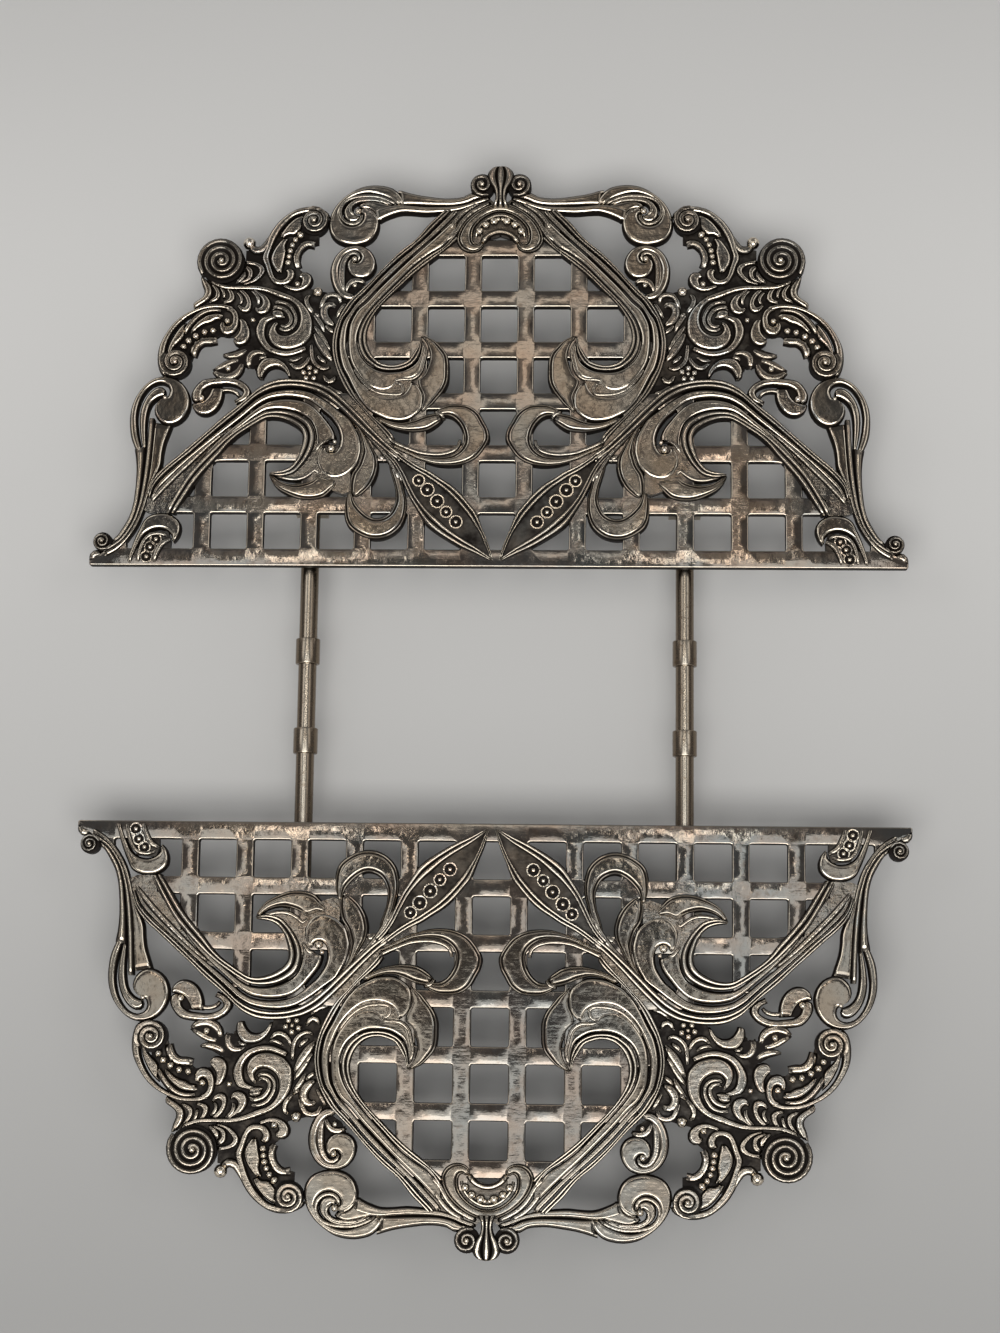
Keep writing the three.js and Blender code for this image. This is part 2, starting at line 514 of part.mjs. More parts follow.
// One rod with its two stop collars and its two end stops.
function slide(hand) {
  const group = new THREE.Group();
  group.add(named(`${hand}_slide_rod`, rod(), nickel));
  for (const [name, sign] of [["front", -1], ["back", 1]]) {
    const collar = named(`${hand}_${name}_collar`, ring(COLLAR_DIAMETER, COLLAR_LENGTH), nickel);
    collar.position.y = sign * (COLLAR_OUTER_END - COLLAR_LENGTH / 2);
    const endStop = named(`${hand}_${name}_end_stop`, ring(END_STOP_DIAMETER, END_STOP_LENGTH), nickel);
    endStop.position.y = sign * (ROD_HALF_LENGTH - END_STOP_LENGTH / 2);
    group.add(collar, endStop);
  }
  group.position.set((hand === "left" ? -1 : 1) * ROD_ACROSS, 0, ROD_HEIGHT);
  return group;
}

const trivet = new THREE.Group();
trivet.add(half("front", true), half("back", false), slide("left"), slide("right"));

export default trivet;
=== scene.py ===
import math

import bmesh
import bpy
from bpy.props import FloatProperty, FloatVectorProperty
from bpy.types import Operator, Panel, PropertyGroup
from mathutils import Matrix, Vector


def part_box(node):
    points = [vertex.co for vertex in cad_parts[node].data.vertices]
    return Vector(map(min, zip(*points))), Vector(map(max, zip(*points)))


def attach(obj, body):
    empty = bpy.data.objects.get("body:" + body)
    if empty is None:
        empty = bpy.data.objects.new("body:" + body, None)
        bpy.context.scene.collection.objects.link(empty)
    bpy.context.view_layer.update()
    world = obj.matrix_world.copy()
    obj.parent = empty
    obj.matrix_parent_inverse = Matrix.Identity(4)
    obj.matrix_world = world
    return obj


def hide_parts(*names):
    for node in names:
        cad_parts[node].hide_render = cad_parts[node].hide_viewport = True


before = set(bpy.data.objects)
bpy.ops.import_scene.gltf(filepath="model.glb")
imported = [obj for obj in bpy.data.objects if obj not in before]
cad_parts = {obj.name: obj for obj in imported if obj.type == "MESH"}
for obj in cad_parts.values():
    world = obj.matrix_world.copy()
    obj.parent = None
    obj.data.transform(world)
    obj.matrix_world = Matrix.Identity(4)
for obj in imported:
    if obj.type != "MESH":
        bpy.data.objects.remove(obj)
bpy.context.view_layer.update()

bl_info = {
    "name": "Expandable Trivet",
    "version": (1, 0, 0),
    "blender": (4, 5, 0),
    "location": "View3D > Sidebar > Trivet",
    "description": "Openwork metal trivet in two half plates that slide apart on two rods",
    "category": "Object",
}

MM = 0.001

# The ornament is drawn in millimetres for one quarter of the trivet: x from the middle line, y from the
# straight edge. These are the sizes that it is drawn for.
DRAWN_HALF_WIDTH = 107.8
DRAWN_DEPTH = 110.0

# Heights over the underside of the plate
BAR_TOP = 2.6
LEAF_TOP = 3.2
STEM_TOP = 3.3
REED_TOP = 3.7
KNOB_TOP = 4.6
VOLUTE_TOP = 4.2  # of the rolled ridges of a volute
SMALL_TOP = 3.1
KNOB_BASE = 0.8
GROUND_BASE = 0.15

# Lattice and its bars
LATTICE_PITCH = 14.2
HOLE_SIDE = 9.7
EDGE_BAR_WIDTH = 4.7
HOLE_COLUMNS = 13
HOLE_ROWS = 7
FACES_ACROSS = 3  # of a hole's side
UNDERSIDE = 0.05  # height of their underside
SET_BACK = 0.05  # from the straight edge of the half plate
BAR_TAPER = 98.0  # the bar along the straight edge narrows from here
BAR_END = 107.7  # to here
BAR_END_WIDTH = 1.5
CORNER_ROUND = 0.5
TOP_ROUND = 0.34
BAR_TONES = ((0.02, 0.0), (0.12, -0.45), (0.2, 0.3))  # (depth under the top, patina_and_painted_light above that depth): a bevel rubbed bright with a painted highlight, and walls below darkened with tarnish and painted shade

# Cross-section of a leaf
SHOULDER_WIDTH = 1.0  # dark wall and rounded corner of a flat band
BORDER_WIDTH = 1.6  # rim and sunk line along the edge of a leaf
BORDER_SHARE = 2.5  # a leaf this many borders wide has them in full; they narrow with a narrower one
LEAST_SQUEEZE = 0.45  # of the heights in a narrow leaf
RIM_RISE = 0.1
GROOVE_DEPTH = 0.4
LEAF_CROWN = 0.07
BAND_CROWN = 0.04
REED_RISE = 0.5

# Length of a leaf
ROW_STEP = 0.9  # length of a row of faces along it
FEWEST_ROWS = 6
MOST_ROWS = 90
TIP_LENGTH = 1.2  # it sinks towards its ends over this length
TIP_DROOP = 0.7
LINE_SPREAD = 1.15  # the small leaves and reeds reach this much past the width that they show
LINE_SINK = 0.4  # and their edges lie this much under their drawn height

# Balls
BALL_BRIGHTEST = -0.45  # patina_and_painted_light on top: rubbed bright, with a painted highlight
BALL_FADE = 2.6  # patina_and_painted_light value lost per radius of height, down to painted shade at the foot
BEAD_LIP = 0.3  # width of the lip round a ringed bead
VOLUTE_CORE = [(0, 0), (0.9, 0), (0.9, 2.9), (0.5, 3.3), (0, 3.4)]  # (share of the radius, height)

SHARP_ANGLE = math.radians(50)  # edges between faces steeper than this are shaded sharp
FAR = 1e9  # length of a way that isn't there

# The patina_and_painted_light value is 1 in dark tarnish and in painted shade on walls and in hollows, 0 on
# plain silver, and below 0 where the silver is rubbed bright and carries a painted highlight. On the rods and
# rings it is painted light only: a painted highlight on top and painted shade on the sides.
PATINA_AND_PAINTED_LIGHT = "patina_and_painted_light"

# Rods and rings
RING_BORE = 2.42 * MM
END_BEND = (0.5, 1.05, 1.57)  # angles along the rounded edge at an end
CROWN_HIGHLIGHT_ANGLE = 0.12  # half angle of the painted highlight on top, in radians
SIDE_SHADE_ANGLE = 0.3  # over which the painted shade on the sides comes in

# Finishes of the silver: (brown patches, clouds, share of the patches, strength of the waves, of the grit)
LATTICE_FINISH = ((0.25, 0.172, 0.12), (0.175, 0.172, 0.158), 0.5, 0.2, 0.15)
LEAF_FINISH = ((0.16, 0.118, 0.08), (0.16, 0.152, 0.134), 0.55, 0.25, 0.2)
SHELL_FINISH = ((0.175, 0.126, 0.085), (0.18, 0.175, 0.158), 0.6, 0.4, 0.6)
# Tints of silver rubbed bright, which also make up the painted highlight on rims and edges
RUBBED_HIGHLIGHT_WARM = (0.95, 0.66, 0.5)
RUBBED_HIGHLIGHT_COOL = (0.55, 0.62, 0.64)

# Plate of the rods, the feet and the guides
# Painted shade on the sides of the rods and rings
ROD_SIDE_SHADE = (0.21, 0.165, 0.12)
ROD_SPECK = (0.16, 0.11, 0.07)
CAST_LIGHT = (0.5, 0.45, 0.37)
CAST_DARK = (0.33, 0.29, 0.23)

# Surroundings, floor and lamps
SKY = (0.95, 0.96, 1.0)
SKY_STRENGTH = 0.2
FLOOR_REACH = 6  # half the side of the floor, in metres
KEY_WIDE_SHARE = 1.4  # of the key light's power
STRIP_END_SHARE = 0.28  # of the power of the strip over the front half
WHITE = (1.0, 1.0, 1.0)
WARM = (1.0, 0.93, 0.85)
COOL = (0.93, 0.97, 1.0)


# Cross-sections of a leaf. Each column is (edge, distance from it, height, patina_and_painted_light): edge "a"
# or "b" is measured in millimetres from that edge, and "m" as a share of the body between the two borders. A
# value of 1 darkens a wall or sunk line with tarnish and painted shade; one below 0 rubs it bright with a
# painted highlight.

# A raised rim and a sunk line along the edge of a leaf. The outer wall and the sunk line are darkened with
# tarnish and painted shade; the rim and the rounded edge of the body are rubbed bright and carry a painted
# highlight.
BORDER = [
    ("a", 0.00, -0.9, 1.0),
    ("a", 0.12, -0.6, 1.0),
    ("a", 0.25, -0.2, 0.9),
    ("a", 0.37, 0.0, 0.0),
    ("a", 0.52, RIM_RISE, -0.4),
    ("a", 0.68, 0.0, 0.0),
    ("a", 0.77, -GROOVE_DEPTH * 0.9, 1.0),
    ("a", 0.97, -GROOVE_DEPTH, 1.0),
    ("a", 1.08, -GROOVE_DEPTH * 0.4, 0.2),
    ("a", 1.24, -GROOVE_DEPTH * 0.1, -0.45),
    ("a", 1.42, 0.03, -0.15),
    ("a", BORDER_WIDTH, 0.05, 0.0),
]

# The plain edge of a flat band: a wall darkened with tarnish and painted shade, and a rounded corner rubbed
# bright with a painted highlight
SHOULDER = [
    ("a", 0.00, -0.9, 1.0),
    ("a", 0.14, -0.65, 1.0),
    ("a", 0.33, -0.4, 1.0),
    ("a", 0.44, -0.19, 0.2),
    ("a", 0.57, -0.09, -0.5),
    ("a", 0.83, 0.02, -0.4),
    ("a", SHOULDER_WIDTH, 0.05, 0.0),
]

# The plain crease where a leaf meets its neighbour, darkened with tarnish and painted shade
CREASE = [
    ("b", 0.9, 0.03, 0.0), ("b", 0.5, -0.04, -0.2), ("b", 0.32, -0.22, 0.3), ("b", 0.15, -0.6, 1.0),
    ("b", 0.0, -0.9, 1.0),
]


def on_edge_b(columns):
    """The columns of edge a, in reverse along edge b."""
    return [("b",) + column[1:] for column in reversed(columns)]


def body(crown):
    return [("m", 0.18, crown * 0.6, 0.0), ("m", 0.5, crown, 0.0), ("m", 0.82, crown * 0.6, 0.0)]


def whole_width(*columns):
    """A section with no borders, of columns (share of the width, height, patina)."""
    return [("m",) + column for column in columns]


def reeded(count):
    """A bundle of round reeds side by side, with a dark line of tarnish and painted shade between each two and
    tops rubbed bright with a painted highlight.
    """
    columns = []
    steps = 6 * count
    for step in range(steps + 1):
        swell = abs(math.sin(math.pi * count * step / steps))
        height = REED_RISE * swell ** 0.6 - 0.4 * (1 - swell) ** 3
        columns.append((step / steps, height, 2.4 * (1 - swell) ** 1.3 - 0.38 * swell))
    return whole_width(*columns)


LEAF = BORDER + body(LEAF_CROWN) + on_edge_b(BORDER)
RIM_LEAF = BORDER + body(LEAF_CROWN) + CREASE  # with a rim along edge a only
BAND = SHOULDER + body(BAND_CROWN) + on_edge_b(SHOULDER)
ONE_REED = reeded(1)
TWO_REEDS = reeded(2)
THREE_REEDS = reeded(3)
# Small leaves, coiled and rolled ribbons: edges darkened with tarnish and painted shade, ridges rubbed bright
# with a painted highlight
SMALL_LEAF = whole_width(
    (0.0, -0.9, 1.0), (0.09, -0.35, 0.9), (0.18, 0.12, 0.0), (0.3, 0.3, -0.3), (0.5, 0.34, 0.0),
    (0.7, 0.3, -0.3), (0.82, 0.12, 0.0), (0.91, -0.35, 0.9), (1.0, -0.9, 1.0),
)
COILED = whole_width(
    (0.0, -0.8, 1.0), (0.07, -0.35, 1.0), (0.15, 0.0, 0.5), (0.25, 0.26, -0.3), (0.4, 0.3, 0.0),
    (0.56, 0.14, 0.05), (0.68, -0.2, 0.9), (0.8, -0.55, 1.0), (1.0, -0.8, 1.0),
)
ROLLED = whole_width(
    (0.0, -0.8, 1.0), (0.05, -0.2, 0.9), (0.1, 0.1, 0.0), (0.2, 0.28, -0.4), (0.34, 0.3, 0.0),
    (0.58, 0.2, 0.0), (0.8, 0.06, 0.0), (0.9, -0.3, 0.95), (1.0, -0.8, 1.0),
)

# Where the inner reed and the inner leaf of a stem meet
INNER_EDGE = [
    (11.8, 92.6), (13.2, 90.2), (15, 87.9), (18.75, 85.5), (22.8, 82.3), (26.8, 78.2), (30.8, 74), (33.5, 71),
    (35.9, 67.7), (37, 65.4), (37.6, 63.1), (37.6, 60.8), (37, 58.5), (35.9, 56.5), (34.4, 55.1),
    (32.4, 53.9), (30.4, 53.35), (28.1, 53.3), (25.8, 53.6), (23.8, 54.5), (22.1, 55.9), (20.9, 58.5),
]

# Leaves between two edges: (section, height, edge a, edge b)
STEM_LEAVES = [
    # inner reed
    (TWO_REEDS, STEM_TOP,
     [(11.3, 89.9), (16.1, 85.75), (19.8, 82.8), (23.6, 79.6), (26.8, 76.4), (30, 73.2), (32.1, 70.7),
      (33.3, 68.9), (34.4, 66.8), (35.2, 64.3), (35.3, 61.7), (34.7, 59.4), (33.6, 57.4), (32.1, 55.9),
      (30.4, 55.1), (28.1, 54.8), (25.8, 55.4), (24.1, 56.2), (22.4, 58.8), (21.4, 60.5), (20.9, 63)],
     INNER_EDGE + [(20.5, 62.8)]),
    # inner leaf
    (BAND, LEAF_TOP,
     INNER_EDGE + [(20.6, 61.8)],
     [(11, 97.2), (12.3, 95.9), (16.1, 92.2), (19.8, 88.7), (24.1, 84.7), (28.4, 80.4), (32.1, 76.6),
      (35.6, 72.6), (38, 70.4), (39.3, 68.2), (40.2, 65.9), (40.5, 62.8), (40.5, 59.6), (39.95, 56.3),
      (38.9, 53.9), (37, 51.1), (35, 49), (33, 47.9), (30.6, 47.5), (28.2, 48.3), (26.6, 50.2), (22.8, 50.9),
      (20.7, 52.6), (20, 55.5), (19.6, 58.5), (20.2, 61.8)]),
    # outer leaf
    (BAND, LEAF_TOP,
     [(11.4, 98), (12.3, 96.4), (16.1, 92.4), (19.8, 88.9), (24.1, 84.9), (28.4, 80.6), (32.1, 76.8),
      (35.6, 72.8), (38, 70.6), (39.3, 68.4), (40.3, 65.9), (40.6, 62.8), (40.5, 59.1), (39.6, 56.2),
      (38.5, 53.6), (37, 51.1), (35, 48.8), (33, 47.3), (31, 46.5), (28.7, 46.3), (26.6, 46.7), (25, 47.6),
      (24, 49.2), (23.8, 50.4)],
     [(12.6, 98.4), (13.7, 97), (16.1, 94.6), (19.8, 90.6), (23.6, 87.1), (27.6, 83.6), (31.6, 79.6),
      (35.6, 75), (38, 72.6), (40.2, 69.3), (41.7, 67.2), (42.7, 64.1), (43.1, 60.7), (42.8, 57.4),
      (41.9, 54.1), (40.4, 51.3), (38.7, 47.9), (37, 45), (35.3, 43), (33.9, 41.7), (31.9, 40.7), (29.6, 39.7),
      (27.3, 39.3), (25, 39.3), (23, 40), (21.2, 41.3), (20.1, 42.7), (19.8, 45), (20.1, 47), (21, 48.8),
      (22.4, 50.3)]),
    # outer reed
    (TWO_REEDS, STEM_TOP,
     [(13, 98.9), (13.9, 97.2), (16.3, 94.8), (20, 90.8), (23.8, 87.3), (27.8, 83.8), (31.8, 79.8),
      (35.8, 75.2), (38.2, 72.8), (40.4, 69.5), (41.9, 67.4), (42.8, 64.1), (43.2, 60.7), (42.9, 57.4),
      (42, 54.1), (40.5, 51.3), (38.9, 48.2), (37.2, 45.3), (35.5, 43.2), (33.4, 40.9), (31, 38.8),
      (28.8, 36.8), (27.4, 34.9)],
     [(14.9, 98.4), (17.1, 96.2), (19.3, 94.05), (22.8, 89.8), (26.8, 86.55), (30.8, 82.5), (34.8, 78),
      (37.5, 75.4), (40.2, 72.6), (41.7, 70.4), (43.2, 67.2), (44.2, 64.1), (44.6, 60.7), (44.3, 57.4),
      (43.6, 54.6), (42.5, 51.5), (40.8, 48.1), (38.9, 45.5), (36.5, 43), (34.2, 40.4), (32, 38), (29.6, 35.2),
      (27.9, 33.2)]),
    # long reeds
    (TWO_REEDS, REED_TOP,
     [(25.2, 30.4), (28.4, 32.6), (32.5, 36.6), (36.5, 40.9), (40.6, 45), (43.6, 47.7), (47.1, 49.6),
      (49.3, 50.2), (51.9, 50.7), (54.5, 50.9), (57.1, 50.9), (59.7, 50.5), (61.85, 49.6), (64, 48.3),
      (66, 46.4), (68.9, 43.8), (71.3, 41.9), (73.9, 39.7), (76.6, 37.1), (79.6, 34.4), (82.5, 31.8),
      (85.5, 29.1), (88.5, 26.5), (90.4, 24.4), (91.8, 22), (92.8, 19)],
     [(26.4, 28.6), (30, 31.2), (34.2, 35), (38.2, 38.8), (42.2, 42.8), (46.2, 46), (50, 47.9), (55, 48.7),
      (60.4, 48), (64.4, 46), (66.8, 43.9), (69.4, 41.5), (72.9, 38.5), (76.8, 35), (81.5, 30.6), (86, 26.8),
      (88.9, 24), (90.9, 21.4), (92, 18)]),
    # curled leaf
    (BAND, LEAF_TOP,
     [(92, 17.6), (90.9, 21.2), (88.9, 23.9), (86, 26.6), (81.5, 30.5), (76.8, 34.8), (72.9, 38.3),
      (69.4, 41.3), (66.8, 43.7), (64.4, 45.8), (60.4, 47.8), (55, 48.5), (50, 47.7), (45.6, 45.2), (42, 42.4),
      (39.1, 40.2), (38.1, 38.5), (37, 36.4), (36.2, 34), (35.9, 31.3), (36.3, 29.4), (37, 27.3), (38.3, 25.7),
      (40.2, 24.3), (42.4, 23.5), (44.5, 23.65), (46.1, 24.6), (47.4, 26.2), (48, 28.1), (47.85, 29.95),
      (47.2, 31.55), (46.1, 32.9)],
     [(91.3, 17.6), (89.5, 20.9), (86.7, 24), (83.1, 27.7), (79.1, 31.3), (75.2, 34.5), (71.6, 37.4),
      (68.4, 40), (65.6, 42.4), (63.4, 44.1), (60.6, 45.4), (55.8, 45.9), (51, 45.1), (48.2, 43.4),
      (46.4, 41.8), (45, 40.7), (43.7, 39.05), (42.6, 37.2), (42, 35), (42.1, 33.2), (42.6, 31.8), (43.6, 31),
      (44.9, 31.2), (45.4, 32)]),
    # second lobe
    (BAND, LEAF_TOP,
     [(88, 14.6), (86, 18.4), (83.2, 22.6), (79.6, 28), (75.4, 33.2), (71.6, 36.8), (68.2, 39.7), (65.4, 42.2),
      (63.2, 43.9), (60.5, 45.2), (55.8, 45.7), (51, 44.8), (48, 42.6), (45.6, 39.8), (44, 37.7), (43.1, 35.6),
      (43, 34.2)],
     [(87, 14), (84.9, 17.6), (82.2, 21.6), (78.3, 27), (74.2, 31.8), (70.6, 35.6), (67, 38.6), (64.4, 40.6),
      (61.8, 42), (58.2, 42.4), (54.4, 41.8), (51.5, 40.4), (49.9, 39), (48.8, 36.8), (48.4, 34.2),
      (48.3, 32.2), (46.9, 33.1), (45.8, 34)]),
    # big crescent
    (TWO_REEDS, REED_TOP,
     [(87.5, 14.5), (86.1, 17.4), (84.4, 20.6), (81.6, 25.2), (78.2, 29.2), (74.6, 32.8), (70.8, 36),
      (67, 38.7), (64.2, 40.5), (61.6, 41.8), (58.2, 42.2), (54.4, 41.7), (51.5, 40.3), (49.8, 38.9),
      (48.7, 36.8), (48.4, 34.4), (48.9, 31.8), (50.2, 29.2), (52, 26.8), (54.1, 24.9), (57.4, 24.1),
      (60.4, 24.7)],
     [(85.3, 13.9), (83.3, 17), (80.6, 21.4), (78.2, 24.7), (75.9, 27.4), (73.3, 30.4), (71.3, 33.1),
      (68.9, 35.4), (66, 37.4), (63.3, 39.1), (61.3, 40), (58.8, 40), (56.6, 39.4), (54.1, 38.1), (52.5, 36.7),
      (51.7, 34.9), (51.9, 32.8), (52.5, 30.7), (53.1, 29.1), (54.7, 27), (56.8, 25.8), (60.3, 25.2)]),
    # pod upper rim
    (TWO_REEDS, REED_TOP,
     [(0.7, 1.9), (2, 6.1), (3.5, 9.85), (5.1, 14.1), (6.7, 16.3), (9.4, 19.5), (12.05, 21.9), (15, 23.8),
      (17.9, 25.7), (20.9, 27.2), (23.6, 28.9), (26.25, 30.9), (28.4, 32.8)],
     [(1.4, 1.9), (4, 8.2), (6.4, 12), (8.8, 15.2), (11.5, 18.2), (15, 21.4), (18.75, 24.05), (21.4, 25.6),
      (24.1, 27.4), (26.6, 29.4), (28.9, 31.4)]),
    # pod lower rim
    (TWO_REEDS, REED_TOP,
     [(1.1, 1.3), (5.4, 3.4), (9.6, 5.3), (15, 8.5), (18.2, 10.9), (19.8, 13.1), (21.4, 15.75), (23, 18.4),
      (24.6, 21.9), (25.9, 24.8), (27.6, 27.6), (30.2, 30.4)],
     [(1.2, 2), (5.4, 5.3), (9.9, 8.2), (12.9, 10.4), (15.5, 12.8), (18.2, 15.2), (20.9, 18.4), (23, 22.2),
      (24.6, 25.4), (26.4, 28.2), (29, 31.2)]),
]

